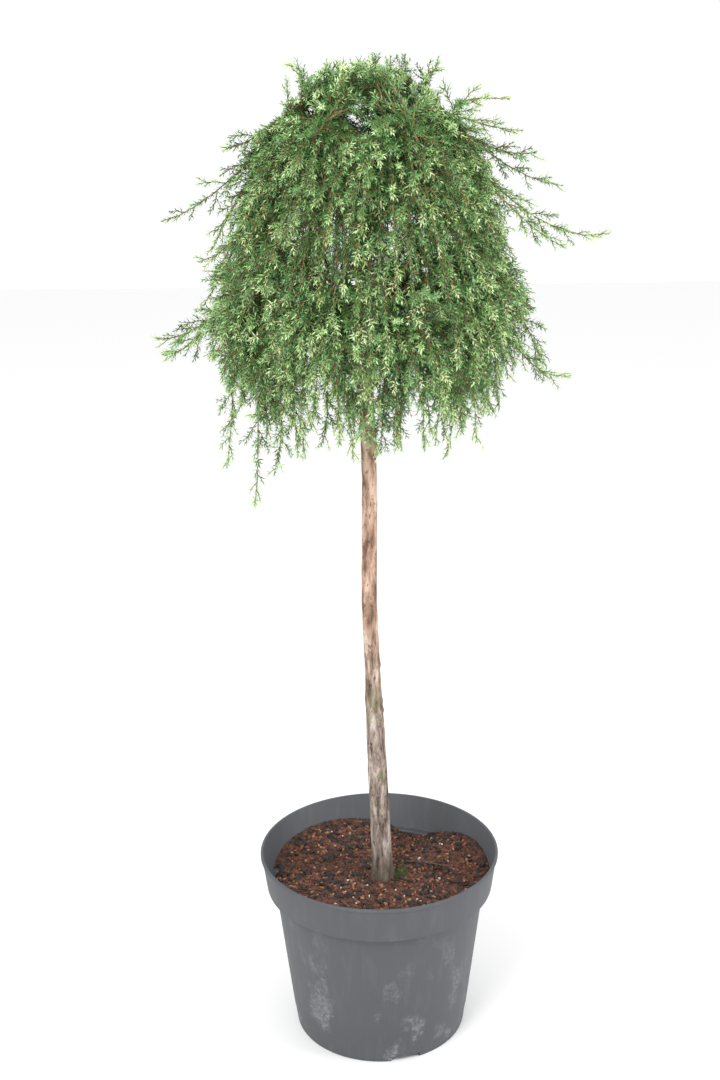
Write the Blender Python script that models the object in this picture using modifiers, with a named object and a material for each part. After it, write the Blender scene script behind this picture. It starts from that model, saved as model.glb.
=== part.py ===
"""Potted common juniper grown as a small standard: a nursery pot filled with growing bark, one
straight stem with a flat cut at soil level, and a weeping crown of boughs and foliage masses.

Lengths are metres. +Z is up, the pot's underside is at z = 0 on its own axis, and the side seen
in the photograph faces -Y. Bearings are degrees about the crown's axis from +X towards +Y, so the
photograph's left is 180 and its front 270.
"""

import math
import random

import bmesh
import bpy
from mathutils import Vector

PLANT_NAME = "potted_common_juniper"
GAP = 0.0003

# Pot, a nursery container with a stepped collar
POT_HEIGHT = 0.258
POT_SIDES = 32
RIM_RADIUS = 0.161
RIM_DEPTH = 0.0035
COLLAR_TOP_RADIUS = 0.1592
COLLAR_FOOT_RADIUS = 0.153
COLLAR_FOOT_Z = 0.2075
BODY_TOP_RADIUS = 0.142
BASE_RADIUS = 0.117
FOOT_BAND_Z = 0.029
FOOT_BAND_STEP = 0.0006
POT_WALL = 0.002
POT_FLOOR = 0.0026
CHANNELS = 4
CHANNEL_BEARING = 286.0
CHANNEL_WIDTH = 0.040
CHANNEL_HEIGHT = 0.007
CHANNEL_START = 0.042
DRAIN_HOLE_RADIUS = 0.006
DRAIN_HOLE_REACH = 0.082

# Soil: height at the stem, then swells and dips at (bearing, half width in degrees, height)
SOIL_Z = 0.2118
SOIL_FLAT_RADIUS = 0.026
SOIL_SWELLS = ((125, 38, 0.013), (28, 22, 0.014), (70, 15, -0.013), (170, 15, -0.009), (270, 80, 0.003))
SOIL_SWELL_REACH = 0.115
SOIL_RIPPLE = 0.0022
SOIL_RINGS = (0.026, 0.050, 0.074, 0.098, 0.120, 0.138, 0.160)
SOIL_SIDES = 24

# Stem: height, sideways lean and radius along it
STEM_LEAN = (
    (0.212, 0.0050), (0.447, -0.0040), (0.616, -0.0100), (0.776, -0.0080), (0.874, -0.0110),
    (1.112, -0.0100),
)
STEM_RADII = (
    (0.212, 0.0158), (0.232, 0.0138), (0.420, 0.0122), (0.520, 0.0100), (0.874, 0.0092),
    (1.112, 0.0078),
)
STEM_SIDES = 16
STEM_RINGS = 22
STEM_KNOB = 0.0004
STEM_TOP_Z = 1.112

# Crown: its axis, the cone that parts the cap from the skirt, and the spaces of the masses
CROWN_X = -0.010
PARTING_Z = 1.108
PARTING_FALL = 0.52
PARTING_MARGIN = 0.0014
SIDE_MARGIN = 0.0005
STEM_CLEAR = 0.0035
CROWN_TOP_Z = 1.281
CAP_MASSES = 6
SKIRT_MASSES = 10

# Outline of the dome as (height, reach)
DOME = (
    (0.800, 0.090), (0.850, 0.140), (0.900, 0.178), (0.950, 0.196), (1.000, 0.188),
    (1.050, 0.180), (1.100, 0.174), (1.150, 0.164), (1.200, 0.142), (1.240, 0.118),
    (1.265, 0.088),
)

# Long shoots seen in the photograph: bearing, reach, height of the tip, droop at the tip in degrees
CAP_LONG_SHOOTS = (
    (184, 0.240, 1.101, 12), (192, 0.165, 1.183, 20), (200, 0.206, 1.059, 8),
    (190, 0.088, 1.274, 0), (250, 0.077, 1.276, -25), (340, 0.092, 1.268, -5),
    (338, 0.176, 1.236, 10), (350, 0.184, 1.200, 5), (345, 0.203, 1.177, -15),
    (8, 0.240, 1.132, 12), (354, 0.288, 1.082, -18), (342, 0.241, 1.071, 20),
)
SKIRT_LONG_SHOOTS = (
    (182, 0.256, 0.960, -8), (190, 0.247, 0.946, 0), (206, 0.154, 0.764, 78),
    (204, 0.186, 0.815, 84), (214, 0.165, 0.881, 10), (222, 0.150, 0.812, 60),
    (246, 0.135, 0.852, 45), (258, 0.105, 0.868, 40), (275, 0.110, 0.838, 80),
    (285, 0.120, 0.850, 70), (320, 0.166, 0.851, 78), (332, 0.176, 0.884, 72),
    (350, 0.248, 0.915, -12), (5, 0.224, 0.913, 80), (340, 0.205, 1.000, 35),
)

# Dense middle of a mass as (reach, height) round its section, and how uneven it is
CAP_CORE = (
    (0.018, 1.222), (0.032, 1.242), (0.066, 1.244), (0.096, 1.222), (0.114, 1.180),
    (0.126, 1.122), (0.132, 1.050), (0.100, 1.066), (0.064, 1.120), (0.048, 1.206),
)
SKIRT_CORE = (
    (0.071, 1.058), (0.100, 1.048), (0.128, 1.033), (0.142, 1.000),
    (0.140, 0.950), (0.128, 0.918), (0.104, 0.922), (0.075, 0.956),
)
CORE_STATIONS = {"cap": 4, "skirt": 3}
CORE_SPRAY = 0.022
CORE_EDGE_SHARE = 0.96
CORE_UNEVEN = 0.006
CORE_MARGIN = 0.005

# Shoots: how a leading shoot and its side shoots are drawn
LEADER_RADIUS = 0.0017
PLUME_RADIUS = 0.0021
WHORL_PITCH = 0.039
WHORL_TWIST = math.radians(47.0)
WHORL_REACH = 0.033
WHORL_SWEEP = 0.85
PLUME_SHAPE = ((0.0, 0.75), (0.3, 1.0), (1.0, 0.45))
BARE_SHARE = 0.20
TIP_LENGTH = 0.024
SHOOT_SWAY = 0.010
SHOOT_CLIMB = 0.60
SKIRT_CLIMB_SHARE = 0.5
CROWDING = 0.005
ROOT_TRIALS = 8
MOST_CROSSINGS = 0
STRAYED = 1000
MASS_STEM_RADIUS = 0.0034
BOUGH_FOOT_RADIUS = 0.0056
BOUGH_TIP_RADIUS = 0.0040
BOUGH_SIDES = 6
FOOT_EDGE_SHARE = 0.87
KNOB_SHARE = 0.75

# Boughs: height of the foot, then (reach, rise) of the bend and the tip from the foot's height
CAP_BOUGH_DROP = 0.014
CAP_BOUGH_STEP = 0.011
CAP_BOUGH_BEND = (0.030, 0.022)
CAP_BOUGH_TIP_REACH = 0.040
CAP_BOUGH_TIP_Z = 1.178
CAP_BOUGH_TIP_RANGE = 0.012
SKIRT_BOUGH_Z = 0.925
SKIRT_BOUGH_RANGE = 0.105
SKIRT_BOUGH_BEND = (0.040, 0.006)
SKIRT_BOUGH_TIP = (0.064, 0.026)

# Stems of the masses as (reach, height); a skirt mass's are no higher than its bough's tip and a rise
CAP_STEM_LEAD = (0.095, 1.238)
CAP_STEM_END = (0.128, 1.205)
SKIRT_STEM_LEAD = (0.115, 1.035)
SKIRT_STEM_END = (0.150, 1.010)
SKIRT_STEM_RISE = (0.045, 0.020)
MASS_STEM_START = 0.020
STRAIGHT_END = 0.003
ROOT_SHARES = (0.20, 0.94)
TIPS_SEED = 100
MASS_SEED = 500
SKIRT_SEED_STEP = 50
REDRAW_STEP = 1000
REDRAWN = {"foliage_skirt_5": 1, "foliage_skirt_6": 1}
BOUGH_CLEAR = 0.002

GOLDEN = 0.6180339887

POT_GREY = (0.058, 0.061, 0.067)
SOIL_BROWN = (0.085, 0.036, 0.022)
BARK_BROWN = (0.330, 0.205, 0.140)
BOUGH_BROWN = (0.190, 0.085, 0.045)
NEEDLE_GREEN = (0.082, 0.150, 0.058)


def clear_scene():
    for old in list(bpy.data.objects):
        bpy.data.objects.remove(old)


def new_collection(name, hidden=False):
    made = bpy.data.collections.new(name)
    bpy.context.scene.collection.children.link(made)
    made.hide_render = hidden
    return made


def principled(name, colour, roughness, metallic=0.0):
    made = bpy.data.materials.new(name)
    made.use_nodes = True
    shader = made.node_tree.nodes["Principled BSDF"]
    shader.inputs["Base Color"].default_value = (*colour, 1.0)
    shader.inputs["Roughness"].default_value = roughness
    shader.inputs["Metallic"].default_value = metallic
    made.diffuse_color = (*colour, 1.0)
    return made


def along(table, at):
    """Value at a height or share of length, in a short table of (at, value) pairs."""
    for (low, first), (high, second) in zip(table, table[1:]):
        if at <= high:
            share = max(0.0, min(1.0, (at - low) / (high - low)))
            return first + (second - first) * share
    return table[-1][1]


def polar(bearing, reach, z, centre_x=0.0):
    angle = math.radians(bearing)
    return Vector((centre_x + reach * math.cos(angle), reach * math.sin(angle), z))


def bezier(start, pull, lead, end, share):
    rest = 1.0 - share
    return (
        start * rest**3 + pull * (3 * share * rest**2) + lead * (3 * share**2 * rest) + end * share**3
    )


def mesh_object(name, points, faces, collection, material=None):
    mesh = bpy.data.meshes.new(name)
    mesh.from_pydata([tuple(point) for point in points], [], faces)
    mesh.validate()
    made = bpy.data.objects.new(name, mesh)
    collection.objects.link(made)
    if material:
        mesh.materials.append(material)
    return made


def turned(name, profile, collection, sides=POT_SIDES):
    """Solid turned from a profile of (radius, z) that runs from the axis, outside, back to the axis."""
    points = [(radius, 0.0, z) for radius, z in profile]
    edges = [(i, i + 1) for i in range(len(points) - 1)]
    mesh = bpy.data.meshes.new(name)
    mesh.from_pydata(points, edges, [])
    made = bpy.data.objects.new(name, mesh)
    collection.objects.link(made)
    screw = made.modifiers.new("turn", "SCREW")
    screw.axis = "Z"
    screw.angle = math.tau
    screw.steps = sides
    screw.render_steps = sides
    screw.use_merge_vertices = True
    screw.merge_threshold = 0.00002
    screw.use_normal_calculate = True
    return made


def block(name, size, centre, bearing, collection):
    bpy.ops.mesh.primitive_cube_add(size=1.0)
    made = bpy.context.object
    made.name = name
    made.scale = size
    made.rotation_euler = (0.0, 0.0, math.radians(bearing))
    made.location = centre
    move_to(made, collection)
    return made


def post(name, radius, height, centre, collection):
    bpy.ops.mesh.primitive_cylinder_add(vertices=16, radius=radius, depth=height, location=centre)
    made = bpy.context.object
    made.name = name
    move_to(made, collection)
    return made


def move_to(made, collection):
    for old in list(made.users_collection):
        old.objects.unlink(made)
    collection.objects.link(made)
    made.display_type = "WIRE"
    made.hide_render = True


def cut(target, other, operation="DIFFERENCE"):
    boolean = target.modifiers.new(other.name, "BOOLEAN")
    boolean.operation = operation
    boolean.solver = "EXACT"
    boolean.object = other


def apply_modifiers(made):
    graph = bpy.context.evaluated_depsgraph_get()
    mesh = bpy.data.meshes.new_from_object(made.evaluated_get(graph))
    made.modifiers.clear()
    made.data = mesh


def pot_outside():
    foot_radius = body_radius(FOOT_BAND_Z)
    return [
        (0.0, POT_HEIGHT),
        (RIM_RADIUS - 0.0010, POT_HEIGHT),
        (RIM_RADIUS, POT_HEIGHT - 0.0010),
        (RIM_RADIUS, POT_HEIGHT - RIM_DEPTH),
        (COLLAR_TOP_RADIUS, POT_HEIGHT - RIM_DEPTH - 0.0012),
        (COLLAR_FOOT_RADIUS, COLLAR_FOOT_Z + 0.0016),
        (COLLAR_FOOT_RADIUS - 0.0016, COLLAR_FOOT_Z),
        (BODY_TOP_RADIUS, COLLAR_FOOT_Z),
        (foot_radius, FOOT_BAND_Z),
        (foot_radius - FOOT_BAND_STEP, FOOT_BAND_Z - 0.0008),
        (BASE_RADIUS - FOOT_BAND_STEP, 0.0016),
        (BASE_RADIUS - 0.0022, 0.0),
        (0.0, 0.0),
    ]


def body_radius(z):
    return BASE_RADIUS + (BODY_TOP_RADIUS - BASE_RADIUS) * z / COLLAR_FOOT_Z


def pot_inside(clear):
    """Profile of the pot's hollow, drawn in by a clearance for the soil that fills it."""
    wall = POT_WALL + clear
    ledge_z = COLLAR_FOOT_Z + wall
    floor_z = POT_FLOOR + clear
    return [
        (0.0, POT_HEIGHT + 0.02),
        (COLLAR_TOP_RADIUS - wall, POT_HEIGHT + 0.02),
        (COLLAR_TOP_RADIUS - wall, POT_HEIGHT - RIM_DEPTH),
        (COLLAR_FOOT_RADIUS - wall, ledge_z),
        (BODY_TOP_RADIUS - wall, ledge_z),
        (body_radius(0.008) - FOOT_BAND_STEP - wall, 0.008 + clear),
        (BASE_RADIUS - 0.005 - wall, floor_z),
        (0.0, floor_z),
    ]


def channel_cutters(collection, grow):
    """Blocks for the channels under the pot's floor, grown by the floor's thickness for its hollow."""
    blocks = []
    far = BASE_RADIUS + 0.05
    start = CHANNEL_START - grow
    for step in range(CHANNELS):
        bearing = CHANNEL_BEARING + 360.0 / CHANNELS * step
        size = (far - start, CHANNEL_WIDTH + 2 * grow, 2 * (CHANNEL_HEIGHT + grow))
        centre = polar(bearing, (start + far) / 2, 0.0)
        blocks.append(block(f"channel_{grow:.4f}_{step}", size, centre, bearing, collection))
    return blocks


def hollow(name, clear, helpers):
    """The space inside the pot, with the roofs of the channels standing up from its floor."""
    space = turned(name, pot_inside(clear), helpers)
    space.hide_render = True
    for roof in channel_cutters(helpers, POT_WALL + clear):
        cut(space, roof)
    return space


def build_pot(parts, helpers):
    pot = turned("pot", pot_outside(), parts)
    for channel in channel_cutters(helpers, 0.0):
        cut(pot, channel)
    cut(pot, hollow("pot_hollow", 0.0, helpers))
    for step in range(CHANNELS):
        centre = polar(CHANNEL_BEARING + 360.0 / CHANNELS * step, DRAIN_HOLE_REACH, CHANNEL_HEIGHT)
        cut(pot, post(f"drain_{step}", DRAIN_HOLE_RADIUS, 0.02, centre, helpers))
    apply_modifiers(pot)
    pot.data.materials.clear()
    pot.data.materials.append(principled("pot_plastic", POT_GREY, 0.42))
    shade_smooth(pot)


def soil_height(x, y, chance):
    reach = math.hypot(x, y)
    if reach < SOIL_FLAT_RADIUS:
        return SOIL_Z
    bearing = math.degrees(math.atan2(y, x)) % 360.0
    spread = min(1.0, (reach - SOIL_FLAT_RADIUS) / (SOIL_SWELL_REACH - SOIL_FLAT_RADIUS))
    z = SOIL_Z + chance.uniform(-1.0, 1.0) * SOIL_RIPPLE * min(1.0, spread * 3)
    for middle, half_width, height in SOIL_SWELLS:
        away = abs((bearing - middle + 180.0) % 360.0 - 180.0) / half_width
        z += height * spread * math.exp(-away * away)
    return z


def build_soil(parts, helpers):
    """Growing bark: an uneven top over a solid that follows the pot's hollow, clear of its wall."""
    chance = random.Random(7)
    rings = SOIL_RINGS
    sides = SOIL_SIDES
    points = [(0.0, 0.0, SOIL_Z)]
    faces = []
    for ring, reach in enumerate(rings):
        for side in range(sides):
            turn = math.tau * (side + 0.5 * (ring % 2)) / sides
            x = reach * math.cos(turn)
            y = reach * math.sin(turn)
            points.append((x, y, soil_height(x, y, chance)))
    for side in range(sides):
        faces.append((0, 1 + side, 1 + (side + 1) % sides))
    for ring in range(len(rings) - 1):
        inner = 1 + ring * sides
        outer = inner + sides
        for side in range(sides):
            after = (side + 1) % sides
            if ring % 2:
                faces.append((inner + side, outer + side, inner + after))
                faces.append((inner + after, outer + side, outer + after))
            else:
                faces.append((inner + side, outer + side, outer + after))
                faces.append((inner + side, outer + after, inner + after))
    low = len(points)
    edge = low - sides
    for side in range(sides):
        points.append((points[edge + side][0], points[edge + side][1], -0.01))
    for side in range(sides):
        after = (side + 1) % sides
        faces.append((edge + side, low + side, low + after))
        faces.append((edge + side, low + after, edge + after))
    faces.append(tuple(range(low + sides - 1, low - 1, -1)))
    soil = mesh_object("soil", points, faces, parts)
    cut(soil, hollow("soil_hollow", GAP, helpers), "INTERSECT")
    apply_modifiers(soil)
    soil.data.materials.clear()
    soil.data.materials.append(principled("growing_bark", SOIL_BROWN, 0.95))


def shade_smooth(made, angle=35.0):
    made.data.shade_smooth()
    made.data.set_sharp_from_angle(angle=math.radians(angle))


def stem_middle(z):
    return Vector((along(STEM_LEAN, z), 0.0, z))


def tube_mesh(centres, radii, sides, turn=0.0):
    """Points and faces of a closed tube with flat ends, its rings square to the way it runs."""
    points = []
    faces = []
    for ring, (centre, radius) in enumerate(zip(centres, radii)):
        side, rise = frame_at(centres, ring)
        for corner in range(sides):
            angle = turn + math.tau * corner / sides
            points.append(centre + side * (radius * math.cos(angle)) + rise * (radius * math.sin(angle)))
    for ring in range(len(centres) - 1):
        near = ring * sides
        far = near + sides
        for corner in range(sides):
            after = (corner + 1) % sides
            faces.append((near + corner, near + after, far + after, far + corner))
    faces.append(tuple(range(sides - 1, -1, -1)))
    last = (len(centres) - 1) * sides
    faces.append(tuple(range(last, last + sides)))
    return points, faces


def frame_at(centres, index):
    """Two directions square to a path at one of its points, the same way round all along it."""
    ahead = centres[min(index + 1, len(centres) - 1)]
    behind = centres[max(index - 1, 0)]
    run = (ahead - behind).normalized()
    side = run.cross(Vector((0.0, 0.0, 1.0)))
    if side.length < 0.05:
        side = run.cross(Vector((0.0, 1.0, 0.0)))
    side.normalize()
    return side, side.cross(run) * -1.0


def build_stem(parts, bark):
    """Stem with its flare, lean and taper; small knobs stand where old side shoots were cut."""
    chance = random.Random(11)
    points = []
    faces = []
    low = STEM_LEAN[0][0]
    for ring in range(STEM_RINGS):
        share = ring / (STEM_RINGS - 1)
        z = low + (STEM_TOP_Z - low) * share
        middle = stem_middle(z)
        radius = along(STEM_RADII, z)
        for corner in range(STEM_SIDES):
            angle = math.tau * corner / STEM_SIDES
            knob = chance.uniform(-0.3, 1.0) * STEM_KNOB if 0 < ring < STEM_RINGS - 1 else 0.0
            wide = radius + knob
            points.append(middle + Vector((wide * math.cos(angle), wide * math.sin(angle), 0.0)))
    for ring in range(STEM_RINGS - 1):
        near = ring * STEM_SIDES
        far = near + STEM_SIDES
        for corner in range(STEM_SIDES):
            after = (corner + 1) % STEM_SIDES
            faces.append((near + corner, near + after, far + after, far + corner))
    faces.append(tuple(range(STEM_SIDES - 1, -1, -1)))
    last = (STEM_RINGS - 1) * STEM_SIDES
    faces.append(tuple(range(last, last + STEM_SIDES)))
    stem = mesh_object("trunk", points, faces, parts, bark)
    shade_smooth(stem, 50.0)


def spread(index, phase):
    """Even but unpatterned shares from 0 to 1."""
    return (phase + index * GOLDEN) % 1.0


def masses():
    """Each mass as (name, tier, bearing, half width, number in its tier)."""
    made = []
    for tier, count in (("cap", CAP_MASSES), ("skirt", SKIRT_MASSES)):
        half_width = 180.0 / count
        for number in range(count):
            made.append((f"{tier}_{number + 1}", tier, 2.0 * half_width * number, half_width, number))
    return made


def bough_foot(bearing, foot_z, bend):
    """Foot of a bough: the upper edge of its flat end stands clear of the stem's knobs."""
    surface = along(STEM_RADII, foot_z)
    bend_reach, climb = bend
    reach = surface
    for _ in range(4):
        tilt = climb / math.hypot(bend_reach - reach, climb)
        reach = surface + BOUGH_FOOT_RADIUS * FOOT_EDGE_SHARE * tilt + STEM_KNOB * KNOB_SHARE + GAP
    return polar(bearing, reach, foot_z, stem_middle(foot_z).x)


def bough_line(tier, bearing, number):
    """Foot, bend and tip of the bough that carries a mass."""
    if tier == "cap":
        foot_z = STEM_TOP_Z - CAP_BOUGH_DROP - CAP_BOUGH_STEP * (number % 3)
        bend_reach, climb = CAP_BOUGH_BEND
        tip_z = CAP_BOUGH_TIP_Z + CAP_BOUGH_TIP_RANGE * spread(number, 0.3)
        tip = polar(bearing, CAP_BOUGH_TIP_REACH, tip_z, CROWN_X)
    else:
        foot_z = SKIRT_BOUGH_Z + SKIRT_BOUGH_RANGE * spread(number, 0.15)
        bend_reach, climb = SKIRT_BOUGH_BEND
        tip = polar(bearing, SKIRT_BOUGH_TIP[0], foot_z + SKIRT_BOUGH_TIP[1], CROWN_X)
    foot = bough_foot(bearing, foot_z, (bend_reach, climb))
    bend = polar(bearing, bend_reach, foot_z + climb, CROWN_X)
    return foot, bend, tip


def bough_path(tier, bearing, number, rings=5):
    """Ring centres of a bough; its last stretch is straight, so that its end is square to it."""
    foot, bend, tip = bough_line(tier, bearing, number)
    first = foot.lerp(bend, 0.6)
    last = tip - (tip - bend).normalized() * STRAIGHT_END
    return [bezier(foot, first, bend, last, ring / (rings - 2)) for ring in range(rings - 1)] + [tip]


def build_bough(name, tier, bearing, number, parts, bark):
    centres = bough_path(tier, bearing, number)
    rings = len(centres)
    step = (BOUGH_TIP_RADIUS - BOUGH_FOOT_RADIUS) / (rings - 1)
    radii = [BOUGH_FOOT_RADIUS + step * ring for ring in range(rings)]
    points, faces = tube_mesh(centres, radii, BOUGH_SIDES)
    bough = mesh_object(f"bough_{name}", points, faces, parts, bark)
    shade_smooth(bough, 50.0)


def mass_stem_path(tier, bearing, number, rings=7):
    """Path of the stem that a mass grows on, from 0.3 mm past its bough's tip."""
    foot, bend, tip = bough_line(tier, bearing, number)
    run = (tip - bend).normalized()
    start = tip + run * GAP
    if tier == "cap":
        end = polar(bearing, *CAP_STEM_END, CROWN_X)
        lead = polar(bearing, *CAP_STEM_LEAD, CROWN_X)
    else:
        end_z = min(SKIRT_STEM_END[1], tip.z + SKIRT_STEM_RISE[1])
        lead_z = min(SKIRT_STEM_LEAD[1], tip.z + SKIRT_STEM_RISE[0])
        end = polar(bearing, SKIRT_STEM_END[0], end_z, CROWN_X)
        lead = polar(bearing, SKIRT_STEM_LEAD[0], lead_z, CROWN_X)
    near = start + run * STRAIGHT_END
    pull = near + run * MASS_STEM_START
    return [start] + [bezier(near, pull, lead, end, ring / (rings - 2)) for ring in range(rings - 1)]


def in_space(point, tier, bearing, half_width):
    """True where a point lies in a mass's own sector and tier, clear of the stem."""
    x = point.x - CROWN_X
    reach = math.hypot(x, point.y)
    if reach < along(STEM_RADII, point.z) + STEM_CLEAR:
        return False
    off = abs((math.degrees(math.atan2(point.y, x)) - bearing + 180.0) % 360.0 - 180.0)
    if off > half_width or reach * math.sin(math.radians(half_width - off)) < SIDE_MARGIN:
        return False
    parting = PARTING_Z - PARTING_FALL * reach
    if tier == "cap":
        return parting + PARTING_MARGIN < point.z < CROWN_TOP_Z
    return point.z < parting - SIDE_MARGIN


def shoot_tips(tier, bearing, half_width, number):
    """Tips of a mass's leading shoots as (bearing, reach, height, droop)."""
    chance = random.Random(TIPS_SEED + number + (SKIRT_SEED_STEP if tier == "skirt" else 0))
    tips = []
    for tip in CAP_LONG_SHOOTS if tier == "cap" else SKIRT_LONG_SHOOTS:
        if abs((tip[0] - bearing + 180.0) % 360.0 - 180.0) < half_width - 0.5:
            tips.append(tip)
    if tier == "cap":
        rows = ((1.266, 2, -12), (1.220, 2, 14), (1.165, 2, 34), (1.110, 1, 50), (1.045, 3, 64))
    else:
        rows = ((0.990, 1, 36), (0.960, 1, 46), (0.920, 2, 60), (0.880, 1, 72), (0.855, 1, 80))
    place = 0
    for row, (height, count, droop) in enumerate(rows):
        for step in range(count):
            place += 1
            z = height + chance.uniform(-0.022, 0.022)
            reach = along(DOME, z) + chance.uniform(-0.012, 0.014)
            if row == 0 and tier == "cap":
                z = min(z, 1.270)
                reach = 0.030 + 0.055 * spread(place, 0.2)
            turn = bearing + half_width * 0.9 * (2.0 * spread(place, 0.11 * number) - 1.0)
            tips.append((turn, reach, z, droop + chance.uniform(-14, 14)))
    return tips


def shoot_curve(stem, tip, root_share, chance):
    """Curve of a leading shoot from its mass's stem, out and over, down to its tip."""
    turn, reach, z, droop = tip
    end = polar(turn, reach, z, CROWN_X)
    root_at = root_share * (len(stem) - 1)
    root = stem[int(root_at)].lerp(stem[int(root_at) + 1], root_at % 1.0)
    span = (end - root).length
    fall = math.radians(droop)
    way = polar(turn, math.cos(fall), -math.sin(fall))
    climb = SHOOT_CLIMB if z > root.z - 0.05 else SHOOT_CLIMB * 0.75
    if root.z < SKIRT_STEM_LEAD[1]:
        climb *= SKIRT_CLIMB_SHARE
    outward = polar(turn, 1.0, climb).normalized()
    sway = Vector((chance.uniform(-1, 1), chance.uniform(-1, 1), 0.0)) * SHOOT_SWAY
    pull = root + outward * (span * 0.46) + sway
    lead = end - way * (span * 0.36) - sway * 0.5
    return root, pull, lead, end


def free_curve(stem, tip, place, taken, inside, chance):
    """The first of a few curves that keeps clear of earlier shoots, or the one that meets fewest."""
    best = None
    for trial in range(ROOT_TRIALS):
        low, high = ROOT_SHARES
        root_share = low + (high - low) * spread(place + trial * 3, 0.37)
        curve = shoot_curve(stem, tip, root_share, chance)
        steps = math.ceil((curve[3] - curve[0]).length / CROWDING) * 2
        cells = {cell_of(bezier(*curve, step / steps)) for step in range(steps // 5, steps + 1)}
        met = len(cells & taken)
        if not all(inside(bezier(*curve, step / 20)) for step in range(1, 11)):
            met += STRAYED
        if best is None or met < best[0]:
            best = (met, curve, cells)
        if not met:
            break
    return best


def cell_of(point):
    return tuple(round(value / CROWDING) for value in point)


class Plume:
    """A shoot with three side shoots at each whorl standing out of a slim three sided core."""

    def __init__(self, curve, width, allowed, taken, chance):
        self.points = []
        self.faces = []
        self.marks = set()
        self.allowed = allowed
        self.taken = taken
        self.chance = chance
        self.width = width
        self.turn = chance.uniform(0.0, math.tau)
        self.centres, self.bare = self.stations(curve)
        self.whole = len(self.centres) - 1 - self.bare >= 1
        if self.whole:
            self.draw(curve[3])

    def stations(self, curve):
        """Ring centres: a bare length first, then one ring a whorl while the space allows."""
        span = (curve[3] - curve[0]).length
        bare = 1 if span < 0.12 else 2
        start = max(BARE_SHARE, self.way_out(curve))
        stops = [start * step / bare for step in range(bare)]
        full = 1.0 - start - TIP_LENGTH / span
        whorls = max(1, round(span * full / WHORL_PITCH))
        stops += [start + full * step / whorls for step in range(whorls + 1)]
        centres = [bezier(*curve, stop) for stop in stops]
        for index in range(bare, len(centres)):
            if not self.allowed(centres[index]):
                return centres[:index], bare
        return centres, bare

    def way_out(self, curve):
        """Share of the curve at which it has left the dense middle of its mass."""
        for step in range(19, 0, -1):
            if not self.allowed(bezier(*curve, step / 20)):
                return min(0.85, (step + 1) / 20)
        return 0.0

    def draw(self, end):
        for ring in range(len(self.centres)):
            self.add_ring(ring)
        self.faces.append((0, 2, 1))
        for ring in range(len(self.centres) - 1):
            if ring < self.bare:
                self.add_tube(ring)
            else:
                self.add_whorl(ring)
        self.add_tip(end)

    def add_ring(self, ring):
        side, rise = frame_at(self.centres, ring)
        late = max(0, ring - self.bare) / (len(self.centres) - self.bare)
        radius = LEADER_RADIUS if ring < self.bare else PLUME_RADIUS * (1.0 - 0.45 * late)
        turn = self.turn + WHORL_TWIST * max(0, ring - self.bare)
        for corner in range(3):
            angle = turn + math.tau * corner / 3
            out = side * math.cos(angle) + rise * math.sin(angle)
            self.points.append(self.centres[ring] + out * radius)

    def add_tube(self, ring):
        near = 3 * ring
        for corner in range(3):
            after = (corner + 1) % 3
            self.faces.append((near + corner, near + after, near + 3 + after))
            self.faces.append((near + corner, near + 3 + after, near + 3 + corner))

    def add_whorl(self, ring):
        late = (ring - self.bare) / max(1, len(self.centres) - 1 - self.bare)
        run = self.centres[ring + 1] - self.centres[ring]
        side, rise = frame_at(self.centres, ring)
        turn = self.turn + WHORL_TWIST * (ring - self.bare + 0.5)
        near = 3 * ring
        for corner in range(3):
            after = (corner + 1) % 3
            angle = turn + math.tau * (corner + 0.5) / 3
            out = side * math.cos(angle) + rise * math.sin(angle)
            root = self.centres[ring] + run * 0.45
            reach = self.width * along(PLUME_SHAPE, late) * self.chance.uniform(0.8, 1.2)
            way = out + run.normalized() * WHORL_SWEEP
            end = self.side_shoot_end(root, way, reach)
            if end is None:
                self.faces.append((near + corner, near + after, near + 3 + after))
                self.faces.append((near + corner, near + 3 + after, near + 3 + corner))
                continue
            top = len(self.points)
            self.points.append(end)
            self.faces.append((near + corner, near + after, top))
            self.faces.append((near + after, near + 3 + after, top))
            self.faces.append((near + 3 + after, near + 3 + corner, top))
            self.faces.append((near + 3 + corner, near + corner, top))

    def side_shoot_end(self, root, way, reach):
        """Tip of a side shoot, shorter where its space ends or where another shoot already is."""
        for share in (1.0, 0.7, 0.45):
            end = root + way * (reach * share)
            steps = [root.lerp(end, step / 6) for step in range(2, 7)]
            cells = {cell_of(step) for step in steps}
            if all(self.allowed(step) for step in steps) and not cells & self.taken:
                self.marks |= cells
                return end
        return None

    def add_tip(self, end):
        last = self.centres[-1]
        if not self.allowed(end) or (end - last).length > 2.5 * TIP_LENGTH:
            end = last + (last - self.centres[-2]) * 0.3
        top = len(self.points)
        self.points.append(end)
        near = 3 * (len(self.centres) - 1)
        for corner in range(3):
            self.faces.append((near + corner, near + (corner + 1) % 3, top))


def join_solids(name, pieces, parts, material):
    """One solid from overlapping pieces, with loose scraps left out."""
    loose = new_collection(f"{name}_pieces")
    for index, (points, faces) in enumerate(pieces[1:]):
        mesh_object(f"{name}_{index}", points, faces, loose)
    whole = mesh_object(name, *pieces[0], parts, material)
    union = whole.modifiers.new("join", "BOOLEAN")
    union.operation = "UNION"
    union.operand_type = "COLLECTION"
    union.collection = loose
    union.solver = "MANIFOLD"
    apply_modifiers(whole)
    for piece in list(loose.objects):
        bpy.data.objects.remove(piece)
    bpy.data.collections.remove(loose)
    keep_largest(whole)
    return whole


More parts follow.
